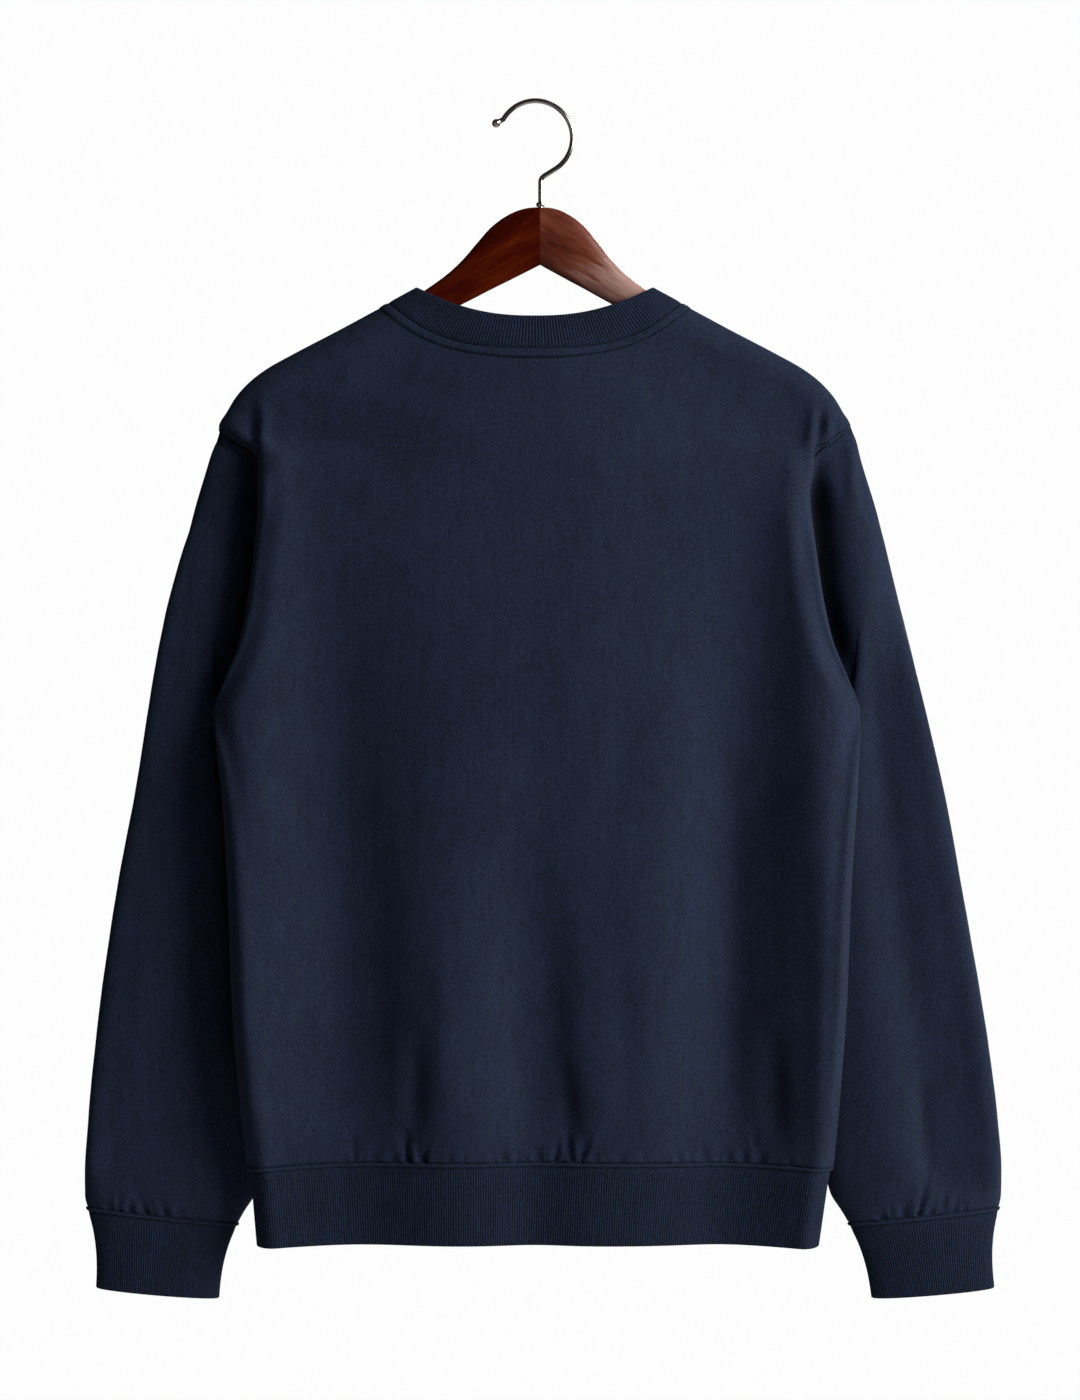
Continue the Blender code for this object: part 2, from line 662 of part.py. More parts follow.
def build_sleeve(side, garment, name, material, collection):
    grid = pull_back(garment.sleeve[side], SEAM_GAP / 2, closed=True)
    normal = garment.sleeve_normal[side]
    skin = Skin(closed=True)
    outer = []
    gathered = len(grid) - 2
    for level, row in enumerate(grid):
        if level != gathered:
            outer.append(skin.row(row))
            continue
        places = fine_places(len(row), FINE_PER_SLEEVE_STEP)[:-1]
        raised = []
        for place in places:
            wave = 0.5 + 0.5 * math.cos(2 * math.pi * SLEEVE_GATHERS * place / len(row))
            out = SLEEVE_GATHER_HEIGHT * wave * interpolate(normal[level], place)
            raised.append(interpolate(row, place) + out)
        outer.append(skin.row(raised, places))
    inner = [skin.row(row) for row in grid - FLEECE * normal]
    skin.close_wall(outer, inner, span=grid.shape[1])
    return skin.finish(name, material, collection)


def rib_places(row):
    """Places of the feet and tops of the ribs round a row, counted in its points."""
    lengths = np.linalg.norm(np.roll(row, -1, axis=0) - row, axis=1)
    reach = np.concatenate(((0.0,), np.cumsum(lengths)))
    count = 2 * round(reach[-1] / RIB_PITCH)
    places = []
    for i in range(count):
        along = reach[-1] * i / count
        index = int(np.searchsorted(reach, along, side="right")) - 1
        places.append(index + (along - reach[index]) / lengths[index])
    return places


def build_band(foot, top, normal_foot, normal_top, name, material, collection):
    """A ribbed ring: plain at its two edges and inside, with ribs raised between them."""
    skin = Skin(closed=True)
    height = float(np.mean(np.linalg.norm(top - foot, axis=1)))
    places = rib_places((foot + top) / 2)
    outer = [skin.row(foot)]
    for share in (RIB_END / height, 1 - RIB_END / height):
        base = (1 - share) * foot + share * top
        normal = (1 - share) * normal_foot + share * normal_top
        ribbed = []
        for i, place in enumerate(places):
            raised = RIB_HEIGHT * (i % 2)
            ribbed.append(interpolate(base, place) + raised * unit(interpolate(normal, place)))
        outer.append(skin.row(ribbed, places))
    outer.append(skin.row(top))
    inner = [skin.row(foot - RIB_WALL * normal_foot), skin.row(top - RIB_WALL * normal_top)]
    skin.close_wall(outer, inner, span=len(foot))
    return skin.finish(name, material, collection)


def build_neckband(garment, material, collection):
    foot, top = garment.neck
    foot = foot + SEAM_GAP / 2 * unit(top - foot)
    return build_band(foot, top, *garment.neck_normal, "neckband", material, collection)


def build_hem_band(garment, material, collection):
    """The ring below both panels, drawn in towards its lower edge."""
    seam = np.vstack((garment.grid[BACK][0], garment.grid[FRONT][0][-2:0:-1]))
    normal = np.vstack((garment.normal[BACK][0], garment.normal[FRONT][0][-2:0:-1]))
    top = seam - np.array((0.0, 0.0, SEAM_GAP / 2))
    foot = seam.copy()
    foot[:, 0] = HEM_BOTTOM_X + (seam[:, 0] - drift_at(HEM_SEAM_Z)) * HEM_BOTTOM_SHRINK
    foot[:, 1] = seam[:, 1] * HEM_BOTTOM_SHRINK
    foot[:, 2] = HEM_BOTTOM_Z + HEM_FOLLOWS * (seam[:, 2] - HEM_SEAM_Z)
    return build_band(foot, top, normal, normal, "hem_band", material, collection)


def build_cuff(side, garment, name, material, collection):
    seam = garment.sleeve[side][-1]
    normal = garment.sleeve_normal[side][-1]
    end = sleeve_ring(side, CUFF_END)
    down = unit(end.mean(axis=0) - seam.mean(axis=0))
    top = seam + SEAM_GAP / 2 * down
    return build_band(end, top, normal, normal, name, material, collection)


# ---------------------------------------------------------------- the hanger

def build_arm(side, name, material, collection):
    """Half of the hanger: a flat wooden arm with rounded edges."""
    skin = Skin(closed=True)
    rows = []
    for reach, top, bottom, share in ARM_SECTIONS:
        ring = []
        for i in range(ARM_SIDES):
            angle = 2 * math.pi * (i + 0.5) / ARM_SIDES
            wide = math.copysign(abs(math.cos(angle)) ** ARM_ROUNDING, math.cos(angle))
            tall = math.copysign(abs(math.sin(angle)) ** ARM_ROUNDING, math.sin(angle))
            flat = math.cos(math.pi / ARM_SIDES) ** ARM_ROUNDING
            y = ARM_THICKNESS / 2 * share * wide / flat
            z = (top + bottom) / 2 + (top - bottom) / 2 * tall / flat
            x = HANGER_X + side * reach - ARM_LEAN * min(reach / ARM_LEAN_REACH, 1.0)
            ring.append((x, y, z))
        rows.append(skin.row(np.array(ring)))
    for low, high in zip(rows, rows[1:]):
        skin.bridge(low, high, ARM_SIDES)
    for cap in (rows[0], rows[-1]):
        skin.mesh.faces.new([vert for _, vert in cap])
    return skin.finish(name, material, collection, smooth_angle=50.0)


def hook_points():
    """Centre line of the wire, from the ball end over the top and down the shank."""
    centre_z = WIRE_RADIUS - HOOK_RADIUS
    start = math.radians(HOOK_START)
    end = math.radians(HOOK_END)
    arc_end = np.array((HOOK_RADIUS * math.cos(end), centre_z + HOOK_RADIUS * math.sin(end)))
    heading = np.array((math.sin(end), -math.cos(end)))
    bend_drop = SHANK_BEND * math.cos(math.radians(-HOOK_END) - math.pi / 2)
    bend_side = SHANK_BEND * (1 - math.cos(math.radians(-HOOK_END)))
    straight = (arc_end[0] - SHANK_X - bend_side) / -heading[0]
    bend_start = arc_end + heading * straight
    points, widths = [], []
    tip = np.array((HOOK_RADIUS * math.cos(start), centre_z + HOOK_RADIUS * math.sin(start)))
    for share, width in BALL_PROFILE:
        points.append(tip + BALL_REACH * share * BALL_HEADING)
        widths.append(width)
    for i in range(ROUND_STEPS + 1):
        angle = start + (end - start) * i / ROUND_STEPS
        points.append(np.array((HOOK_RADIUS * math.cos(angle), centre_z + HOOK_RADIUS * math.sin(angle))))
    for i in range(BEND_STEPS + 1):
        turned = -end * (1 - i / BEND_STEPS)
        side = SHANK_BEND * (1 - math.cos(turned))
        drop = bend_drop - SHANK_BEND * math.sin(turned)
        points.append(np.array((SHANK_X + side, bend_start[1] - drop)))
    points.append(np.array((SHANK_X, SHANK_FOOT_Z)))
    widths += [1.0] * (len(points) - len(widths))
    return points, widths


def build_hook(material, collection):
    points, widths = hook_points()
    data = bpy.data.curves.new("hanger_hook", "CURVE")
    data.dimensions = "3D"
    data.bevel_depth = WIRE_RADIUS * MM
    data.bevel_resolution = 2
    data.use_fill_caps = True
    spline = data.splines.new("POLY")
    spline.points.add(len(points) - 1)
    for slot, (x, z), width in zip(spline.points, points, widths):
        slot.co = (x * MM, 0.0, z * MM, 1.0)
        slot.radius = width
    return add_object("hanger_hook", data, material, collection)


def build_ferrule(material, collection):
    """Turned ring round the foot of the hook."""
    mesh = bmesh.new()
    verts = [mesh.verts.new((radius * MM, 0.0, z * MM)) for radius, z in FERRULE_PROFILE]
    for a, b in zip(verts, verts[1:] + verts[:1]):
        mesh.edges.new((a, b))
    data = bpy.data.meshes.new("hook_ferrule")
    mesh.to_mesh(data)
    mesh.free()
    obj = add_object("hook_ferrule", data, material, collection)
    obj.location.x = SHANK_X * MM
    screw = obj.modifiers.new("turn", "SCREW")
    screw.steps = screw.render_steps = ROUND_STEPS
    screw.use_merge_vertices = True
    screw.merge_threshold = 0.00001
    return obj


def cut_shank_hole(arms, cutters):
    """The hole in the joint of the arms that the shank stands in."""
    radius = (WIRE_RADIUS + HOLE_CLEARANCE) * MM
    bpy.ops.mesh.primitive_cylinder_add(vertices=HOLE_SIDES, radius=radius, depth=HOLE_DEPTH * MM)
    hole = bpy.context.object
    hole.name = "shank_hole"
    hole.location = (SHANK_X * MM, 0.0, (SHANK_FOOT_Z - HOLE_FLOOR_GAP + HOLE_DEPTH / 2) * MM)
    hole.display_type = "WIRE"
    hole.hide_render = True
    for owner in list(hole.users_collection):
        owner.objects.unlink(hole)
    cutters.objects.link(hole)
    for arm in arms:
        cut = arm.modifiers.new("shank hole", "BOOLEAN")
        cut.operation = "DIFFERENCE"
        cut.object = hole


# ---------------------------------------------------------------- the whole

def clear_scene():
    for obj in list(bpy.data.objects):
        bpy.data.objects.remove(obj, do_unlink=True)


def make_collection(name):
    collection = bpy.data.collections.new(name)
    bpy.context.scene.collection.children.link(collection)
    return collection


def main():
    clear_scene()
    parts = make_collection(COLLECTION)
    cutters = make_collection("cutters")
    fleece = make_material("navy_fleece", (0.014, 0.020, 0.038), 0.95)
    rib = make_material("navy_rib", (0.010, 0.015, 0.028), 0.95)
    wood = make_material("mahogany_stained_wood", (0.085, 0.016, 0.007), 0.35)
    steel = make_material("polished_steel", (0.62, 0.60, 0.58), 0.18, 1.0)
    garment = Garment()
    build_panel(BACK, garment, "back_panel", fleece, parts)
    build_panel(FRONT, garment, "front_panel", fleece, parts)
    build_sleeve(-1, garment, "sleeve_left", fleece, parts)
    build_sleeve(1, garment, "sleeve_right", fleece, parts)
    build_neckband(garment, rib, parts)
    build_hem_band(garment, rib, parts)
    build_cuff(-1, garment, "cuff_left", rib, parts)
    build_cuff(1, garment, "cuff_right", rib, parts)
    arms = [build_arm(-1, "hanger_arm_left", wood, parts), build_arm(1, "hanger_arm_right", wood, parts)]
    cut_shank_hole(arms, cutters)
    build_hook(steel, parts)
    build_ferrule(steel, parts)


main()
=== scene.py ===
"""Crewneck sweatshirt on a wooden hanger: the fine cloth, seams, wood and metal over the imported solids.

Sizes are in millimetres until a mesh is made. The garment's back faces -Y, its front +Y, and the wearer's
left sleeve is at -X. Cloth skins are worked out from the same tables of sections as the solids.
"""
import math

import bmesh
import bpy
import numpy as np
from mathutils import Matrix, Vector, noise

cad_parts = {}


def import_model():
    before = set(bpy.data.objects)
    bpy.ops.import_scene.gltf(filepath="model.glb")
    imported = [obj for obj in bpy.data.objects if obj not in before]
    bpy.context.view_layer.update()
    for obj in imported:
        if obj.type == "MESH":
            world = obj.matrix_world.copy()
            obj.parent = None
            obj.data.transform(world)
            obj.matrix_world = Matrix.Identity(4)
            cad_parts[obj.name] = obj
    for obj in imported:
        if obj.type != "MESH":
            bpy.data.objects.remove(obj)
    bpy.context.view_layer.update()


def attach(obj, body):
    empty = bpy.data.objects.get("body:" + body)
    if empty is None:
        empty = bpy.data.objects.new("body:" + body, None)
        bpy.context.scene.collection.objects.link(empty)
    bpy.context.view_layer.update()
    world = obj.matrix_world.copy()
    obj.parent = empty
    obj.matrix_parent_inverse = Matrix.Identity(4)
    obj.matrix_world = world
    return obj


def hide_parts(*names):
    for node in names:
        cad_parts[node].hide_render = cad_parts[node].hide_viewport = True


MM = 0.001
BACK, FRONT = -1, 1
FLEECE = 2
RIB_WALL = 2.6

HEM_SEAM_Z = -818
UNDERARM_Z = -467
TIP_Z = -248.6
NECK_Z = -154.4

# ---------------------------------------------------------------- the garment's sizes
SWELL_END = 0.9             # share of the half width over which a panel swells from its edge to its middle
DRAWN_IN_HEIGHT = 60        # the hem draws the folds in from this far above its seam
SLEEVE_ROUNDING = 0.85      # 1 is an ellipse, less is fuller

# The edge of the body from the hem up the side, armhole and shoulder seam. half is the half width of
# the outline, depth its Y, roll_x the reach of the rolled edge across, roll_y its reach towards the
# viewer's side, behind its reach past the edge, and turn the angle on that roll where the back panel's
# seam lies: below zero it is behind the edge.
EDGE_TABLE = (
    # z,    half, depth, roll_x, roll_y, behind, turn
    (-821, 224.9, -7, 18, 15, 9, -20),
    (-768, 230, -9, 22, 18, 8, -25),
    (-690, 235.2, -13, 24, 18, 7, -30),
    (-614, 238, -14, 24, 18, 6, -35),
    (-552, 241.5, -14, 24, 18, 7, -45),
    (-502, 245, -14, 22, 16, 13, -60),
    (-480, 246.5, -13, 20, 15, 20, -75),
    (-467, 247, -12, 20, 15, 24, -85),
    (-460, 244.9, -12, 20, 15, 23.5, -78),
    (-441, 237, -12, 22, 16, 20, -65),
    (-412, 226, -12, 24, 17, 18, -55),
    (-377, 219.2, -12, 24, 18, 16, -50),
    (-339, 214.4, -12, 24, 18, 16, -50),
    (-303, 211.6, -11, 24, 17, 16, -40),
    (-274, 214, -8, 24, 15, 14, -8),
    (-255.2, 237, -1.5, 26, 13, 13, 6),
    (-248.6, 243.2, 0, 26, 13, 13, 0),
    (-238, 237.4, 0, 26, 13.5, 13.5, 0),
    (-227, 230.8, 0, 26, 14, 14, 0),
    (-215, 220, 0, 26, 15, 15, 0),
    (-204.7, 206.5, 0, 26, 15, 15, 0),
    (-193.5, 186.5, 0, 26, 15.5, 15.5, 0),
    (-176, 153, 0, 26, 17, 17, 0),
    (-154.4, 113, 0, 26, 19, 19, 0),
)
EDGE_COLUMNS = ("z", "half", "depth", "roll_x", "roll_y", "behind", "turn")
# The front panel's edge along the armhole, which lies farther back than the back panel's. A turn near
# 60 means that the panel runs into the sleeve almost flat. Elsewhere the two panels share their edge.
FRONT_ARMHOLE = (
    # z,    half, depth, roll_x, roll_y, turn
    (-467, 247, -12, 20, 24, 85),
    (-460, 241, -6, 20, 23.5, 76),
    (-441, 234.5, -1, 22, 26, 67),
    (-412, 228, 4, 24, 25, 60),
    (-377, 224, 7, 24, 21, 58),
    (-339, 220, 8, 24, 18, 58),
    (-303, 218, 6, 24, 18, 50),
    (-274, 221, 3, 24, 15, 30),
    (-255.2, 237, 1, 26, 13, 10),
    (-248.6, 243.2, 0, 26, 13, 0),
)
FRONT_COLUMNS = ("z", "half", "depth", "roll_x", "roll_y", "turn")

# The middle of each row of a panel: sag is how far it drops below the row's ends, depth how far it
# stands out, and shelf the share of the half width that stays flat beside the rolled edge.
BACK_MIDDLE = (
    # z,    sag, depth, shelf
    (-821, -5.5, 32, 0),
    (-760, -2, 40, 0),
    (-614, 0, 46, 0),
    (-467, 0, 45, 0),
    (-377, 1, 42, 0),
    (-303, 3, 38, 0),
    (-248.6, 6, 34, 0),
    (-204.7, 20.6, 30, 0),
    (-154.4, 36.6, 27, 0),
)
FRONT_MIDDLE = (
    (-821, -5.5, 24, 0.05),
    (-760, -2, 28, 0.10),
    (-614, 0, 30, 0.13),
    (-487, 3, 31, 0.12),
    (-441, 6, 31, 0.06),
    (-377, 14, 32, 0),
    (-303, 26, 32, 0),
    (-248.6, 36, 31, 0),
    (-227, 43, 30, 0),
    (-204.7, 54, 29, 0),
    (-176, 72, 28, 0),
    (-154.4, 86, 27, 0),
)
MIDDLE_COLUMNS = ("z", "sag", "depth", "shelf")

# The middle of the garment, which hangs a little to the right as it goes down.
DRIFT = ((-921, 6.8), (-821, 3.6), (-552, 3.6), (-467, 1.2), (-248.6, -0.5), (-140, -0.5))
SLEEVE_DRIFT = ((-921, 0.9), (-860, 1.5), (-820, 2.5), (-600, 0), (-467, 0), (-248.6, 0))

# Soft vertical folds: a trough has a positive depth and a ridge a negative one. top is where the fold
# starts to show and full where it has its depth.
BACK_FOLDS = (
    # x_top, x_foot,  top,   full,  half_width, depth
    (-154, -139, -290, -570, 42, 14),
    (-10, 1, -450, -710, 31, 13),
    (158, 150, -280, -600, 37, 16),
    (-214, -214, -236, -320, 32, -7),
    (214, 222, -262, -340, 31, -13),
    (-68, -66, -520, -780, 34, -4),
    (62, 70, -520, -780, 44, -3),
)
FRONT_FOLDS = (
    (-62, -70, -500, -790, 26, 9),
    (70, 82, -460, -780, 28, 10),
    (-128, -120, -420, -770, 26, -4),
    (4, 6, -420, -780, 34, -6),
    (134, 140, -430, -770, 24, -4),
)
FOLD_AT_SEAM = 0.55         # share of a fold's depth that is left where the rib draws the cloth in

# The sleeves: the outer and the inner line of each section, and its half thickness
SLEEVE_SECTIONS = (
    # out_x,  out_y,  out_z,  in_x,  in_y,   in_z, thick
    (264, 12, -315, 238, 24, -482, 19),
    (278.3, 18, -370, 226, 28, -515, 22),
    (290.8, 22.5, -420, 213, 30, -552, 24),
    (302.7, 26, -475, 203, 30, -597, 24),
    (315, 28, -535, 198, 29.5, -642, 24),
    (327.5, 28.5, -600, 198, 29, -684, 23),
    (338.3, 27.5, -665, 203, 28, -727, 22),
    (346.8, 26, -725, 209, 26, -768, 21),
    (353.4, 24, -785, 216, 24, -808, 19),
    (356, 22, -826, 223, 22, -842, 18),
    (355.6, 21, -844.5, 232.5, 21, -857.5, 17),
    (353.8, 20, -852.5, 236.8, 20, -865, 15),
)
CUFF_END = (348, 19, -915.5, 253.5, 19, -923.5, 14)
CUFF_DRAW = 2.4             # above 1 a cuff narrows most below its seam
SECTION_COLUMNS = ("out_x", "out_y", "out_z", "in_x", "in_y", "in_z", "thick")
SLEEVE_HEAD_SHARES = (0.4,)     # rings between the armhole and the first section

# Hem band: its lower edge is drawn in
HEM_BOTTOM_Z = -879         # at the sides
HEM_FOLLOWS = 0.6           # between them it follows the seam by this share
HEM_BOTTOM_SHRINK = 0.956
HEM_BOTTOM_X = 1.8          # middle of its lower edge
HEM_AT_ONCE, HEM_DRAWN_BY = 0.3, 0.05       # share drawn in over a share of its height

# Neckband: its top edge, worked out as a panel's row is
NECK_TOP_HALF = 90.5
NECK_TOP_Z = -142.2
NECK_TOP_DEPTH = 24
NECK_TOP_SAG = {BACK: 23.8, FRONT: 71.0}
NECK_SAG_POWER = 2.4
NECK_DEPTH_POWER = 4

# Hanger: two flat wooden arms that meet under the hook
HANGER_X = 3.5
ARM_THICKNESS = 12
ARM_LEAN = 4                # the arms hang this far off the joint's middle, from ARM_LEAN_REACH out
ARM_LEAN_REACH = 100
ARM_SECTIONS = (
    # reach, top, bottom, share of the thickness
    (0.15, -80.1, -124.7, 1),
    (8, -80.6, -128.9, 1),
    (16, -82.6, -133.1, 1),
    (25, -87, -137.8, 1),
    (36, -95.4, -143.4, 1),
    (46, -107, -148.8, 1),
    (57, -120.4, -154.6, 1),
    (67, -130.3, -160, 1),
    (85, -144, -170.4, 1),
    (110, -160.4, -184.5, 1),
    (140, -174.2, -197.5, 0.97),
    (186, -198.2, -220.5, 0.95),
    (206, -210.2, -231.5, 0.92),
    (216, -218.6, -236.5, 0.85),
    (221, -225, -236, 0.55),
)

# Hook: wire bent round a circle that bears on its support at the origin
WIRE_RADIUS = 1.9
HOOK_RADIUS = 28.5
HOOK_START = 150            # degrees, beside the ball end
HOOK_END = -58
SHANK_X = 4
SHANK_BEND = 6
SHANK_FOOT_Z = -93
BALL_REACH = 7              # from the end of the wire's arc to the middle of its ball end
BALL_HEADING = np.array((-0.80, -0.45))

# ---------------------------------------------------------------- fine relief
# Extra creases of the cloth: from (x0, z0) to (x1, z1), a trough where depth is above zero. half_width is
# across it and soft is the share of its length over which each end fades.
BACK_CREASES = (
    # x0,   z0,    x1,    z1,  half_width, depth, soft
    (214.5, -224, 208, -304, 4.6, -3.8, 0.4),
    (221, -228, 213.5, -286, 4.2, 4.4, 0.4),
    (-209, -222, -207, -330, 5.5, -3.6, 0.4),
    (-218.5, -218, -215, -300, 5, 3.6, 0.4),
    (-227, -226, -224, -262, 5, 1.4, 0.4),
    (226.5, -234, 221.5, -266, 3.4, -1.3, 0.5),
    (232, -238, 228, -266, 3.6, 0.8, 0.5),
    (208, -240, 203, -420, 7, 1.6, 0.5),
    (-207, -238, -204, -330, 7, 1.4, 0.5),
    (-214, -236, -222, -262, 5, 0.8, 0.5),
    (-150, -560, -146, -812, 15, 1.6, 0.4),
    (-72, -640, -66, -815, 11, -1.4, 0.4),
    (-12, -650, -4, -815, 12, 1.3, 0.4),
    (62, -600, 72, -812, 13, 1.6, 0.4),
    (136, -700, 140, -812, 9, -1.4, 0.4),
    (205, -560, 203, -800, 9, 1.2, 0.4),
    (-214, -520, -209, -790, 8, 0.9, 0.4),
    (150, -180, 188, -262, 13, -1.2, 0.5),
    (-120, -176, -170, -250, 14, -1, 0.5),
    (224, -486, 150, -560, 14, 1.6, 0.5),
    (-222, -486, -165, -556, 14, 1.3, 0.5),
    (96, -420, 104, -600, 20, -1.3, 0.5),
    (10, -430, 18, -620, 22, 1.2, 0.5),
    (150, -470, 147, -826, 15, 5.2, 0.35),
    (46, -480, 48, -826, 30, 3.4, 0.35),
    (-122, -540, -120, -826, 16, 2.4, 0.4),
    (12, -600, 15, -826, 13, 2.8, 0.4),
    (-217, -420, -217, -826, 22, -1.8, 0.35),
    (-90, -380, -98, -560, 20, 1, 0.5),
    (-90, -700, -95, -814, 9, 4.4, 0.45),
    (-100, -782, -96.5, -819, 2.4, 2, 0.4),
    (-82, -792, -86, -819, 2.4, 1.8, 0.4),
    (16, -720, 31, -812, 8.5, 4.2, 0.45),
    (25, -784, 20.5, -819, 2.4, 1.7, 0.4),
    (39, -788, 31, -817, 2.8, 2, 0.4),
    (180, -700, 186, -814, 8.5, 4, 0.45),
    (166, -778, 170, -819, 3, 1.4, 0.4),
    (-140, -784, -139, -819, 3.2, 1.2, 0.4),
    (112, -786, 121, -819, 4, 1.4, 0.4),
)
FRONT_CREASES = (
    (-214, -242, -206, -300, 6, 1.4, 0.5),
    (216, -240, 207, -310, 6, 1.3, 0.5),
    (-196, -420, -120, -520, 15, 1.8, 0.5),
    (198, -425, 128, -535, 15, 1.7, 0.5),
    (-30, -620, -24, -812, 13, 1.5, 0.4),
    (34, -640, 40, -812, 11, -1.3, 0.4),
    (-104, -600, -98, -812, 12, 1.4, 0.4),
    (112, -620, 108, -812, 12, 1.4, 0.4),
    (-150, -650, -156, -812, 10, -1.2, 0.4),
    (166, -640, 172, -812, 11, 1.3, 0.4),
    (-60, -300, -96, -420, 20, 1.2, 0.5),
    (64, -300, 92, -430, 20, 1.1, 0.5),
)
SLEEVE_CREASES = {
    (-1, BACK): (
        (-262, -330, -292, -560, 12, -1.8, 0.5),
        (-300, -600, -318, -810, 13, -1.4, 0.5),
        (-296, -500, -312, -832, 24, -3.2, 0.35),
        (-262, -560, -268, -800, 15, 1.8, 0.5),
        (-250, -760, -285, -800, 9, 1.2, 0.5),
    ),
    (1, BACK): (
        (240.5, -244, 246, -322, 4.6, -3.4, 0.3),
        (241, -290, 262, -470, 13, -3, 0.35),
        (262, -330, 284, -560, 14, 1.6, 0.5),
        (262, -470, 300, -800, 20, 1.6, 0.45),
        (296, -740, 304, -836, 7, 2.6, 0.35),
        (318, -560, 330, -836, 16, 1.6, 0.4),
    ),
    (-1, FRONT): (
        (-258, -330, -286, -540, 12, -1.6, 0.5),
        (-262, -520, -272, -790, 15, 1.8, 0.5),
        (-300, -640, -316, -820, 12, -1.3, 0.5),
    ),
    (1, FRONT): (
        (258, -330, 286, -540, 12, -1.6, 0.5),
        (262, -520, 276, -790, 15, 1.8, 0.5),
        (302, -640, 318, -820, 12, -1.3, 0.5),
    ),
}
# Puckers that a rib draws into the cloth: place across, depth, and how far they run up
BACK_PUCKERS = (
    (-146.7, 0.8, 7), (-139, 0.9, 8), (-132.8, 0.8, 7), (-125.1, 0.9, 9), (-109.7, 1.1, 10),
    (-96.6, 2.2, 20), (-85.9, 2, 16), (-31.2, 1, 8), (-23.5, 1.1, 11), (-14.2, 1.1, 10),
    (-7.3, 1, 9), (2.7, 1.2, 12), (15, 1.9, 16), (28.1, 2.1, 19), (34.3, 1.6, 14),
    (63.5, 0.9, 8), (110.5, 1.1, 9), (119, 1, 9), (125.9, 1.2, 12), (132, 1.1, 10),
    (140.5, 1.3, 14), (147.5, 1.2, 11), (159, 1.4, 14), (171.5, 1.3, 12), (-176, 0.6, 7),
    (195, 0.8, 8), (84, 0.7, 7), (-55, 0.7, 7), (-66, 0.6, 6), (47, 0.7, 7),
)
FRONT_PUCKERS = (
    (-168, 1, 9), (-160, 1.1, 10), (-150, 1.2, 12), (-141, 0.9, 8), (-92, 1.2, 10),
    (-84, 1.9, 17), (-73, 1.8, 15), (-64, 1, 9), (-22, 0.9, 8), (-12, 1, 10),
    (-3, 1.1, 11), (8, 0.9, 9), (56, 1.2, 10), (66, 2, 18), (77, 1.7, 15),
    (118, 1.1, 9), (127, 1.2, 11), (136, 1, 9), (147, 1.2, 12), (156, 0.9, 8),
    (-112, 0.8, 8), (96, 0.8, 8), (30, 0.7, 7), (182, 0.8, 8), (-190, 0.7, 7),
)
CUFF_PUCKERS = {
    (-1, BACK): ((-329, 0.7, 7), (-321.5, 1.2, 11), (-313.8, 1.4, 13), (-300.7, 1.5, 15),
                 (-293, 1.2, 12), (-285.3, 1.3, 12), (-274, 0.7, 8), (-262, 0.6, 7)),
    (1, BACK): ((269.1, 1, 8), (276.8, 1.2, 10), (284.5, 1.2, 12), (296, 2.2, 22),
                (304, 1, 9), (311.5, 1.4, 13), (317.6, 1.2, 11), (323, 1.2, 11), (330.7, 1, 9)),
    (-1, FRONT): ((-330, 0.9, 8), (-320, 1.1, 10), (-309, 1.4, 13), (-297, 1.2, 11),
                  (-286, 1.4, 13), (-275, 0.9, 9), (-262, 0.8, 8)),
    (1, FRONT): ((268, 0.9, 8), (279, 1.1, 10), (290, 1.5, 14), (301, 1.2, 11),
                 (312, 1.3, 12), (322, 0.9, 9), (331, 0.8, 8)),
}
PUCKER_HALF_WIDTH, PUCKER_UNEVEN = 2.85, 1.2        # and by how much it varies
PUCKER_GAIN = 1.75
CUFF_PUCKER_GAIN = 1.25
PUCKER_LEAN = 0.35          # the valleys lean to one side or the other by up to this much
PUCKER_START = 1.4          # and reach their depth this far from the seam
PUCKER_FLARE = 0.7          # they are wider by this share where they end

# The deep gaps where a sleeve runs in behind the body's edge. From the top down, a gap starts to show at
# top, has its depth from full to ends and is gone at gone. bank is how wide its outer bank is.
SLEEVE_GAPS = {
    # top, full, ends, gone, depth, bank
    (-1, BACK): ((-246, -262, -440, -474, 8.5, 8), (-450, -490, -700, -812, 3, 11)),
    (1, BACK): (),
    (-1, FRONT): ((-262, -290, -400, -452, 7, 9),),
    (1, FRONT): ((-262, -290, -400, -452, 7, 9),),
}
SLEEVE_VALLEYS = {          # rows as in the creases, with their own painted shade
    (1, BACK): ((213, -254, 229, -462, 9.5, 8.5, 0.28), (224, -366, 242, -450, 7, 4, 0.4)),
}
GAP_SHADE = 1.25            # painted shade at the bottom of a gap or a valley
GAP_START = 8               # it is this far from the seam before it has its depth
GAP_FLOOR = 4.5             # its floor ends this far outside the body's edge, where a steep bank begins
# The rolled edges are squarer than the solids': they stand this much farther out from the panel
EDGE_LIFTS = (
    # z, left, right
    (-800, 2, 2), (-770, 6, 7), (-690, 8, 9.5), (-575, 8, 10.5), (-480, 9, 10.5),
    (-414, 9.5, 11), (-352, 8, 9.5), (-300, 6, 4), (-266, 2, 0), (-250, 0, 0),
)
EDGE_LIFT_PLACE = 24        # in from the edge, along the cloth
EDGE_LIFT_WIDTH = 11.5
EDGE_LIFT_START = 12        # it grows from the edge over this much
EDGE_LIFT_SHARE = {BACK: 1, FRONT: 0.6}
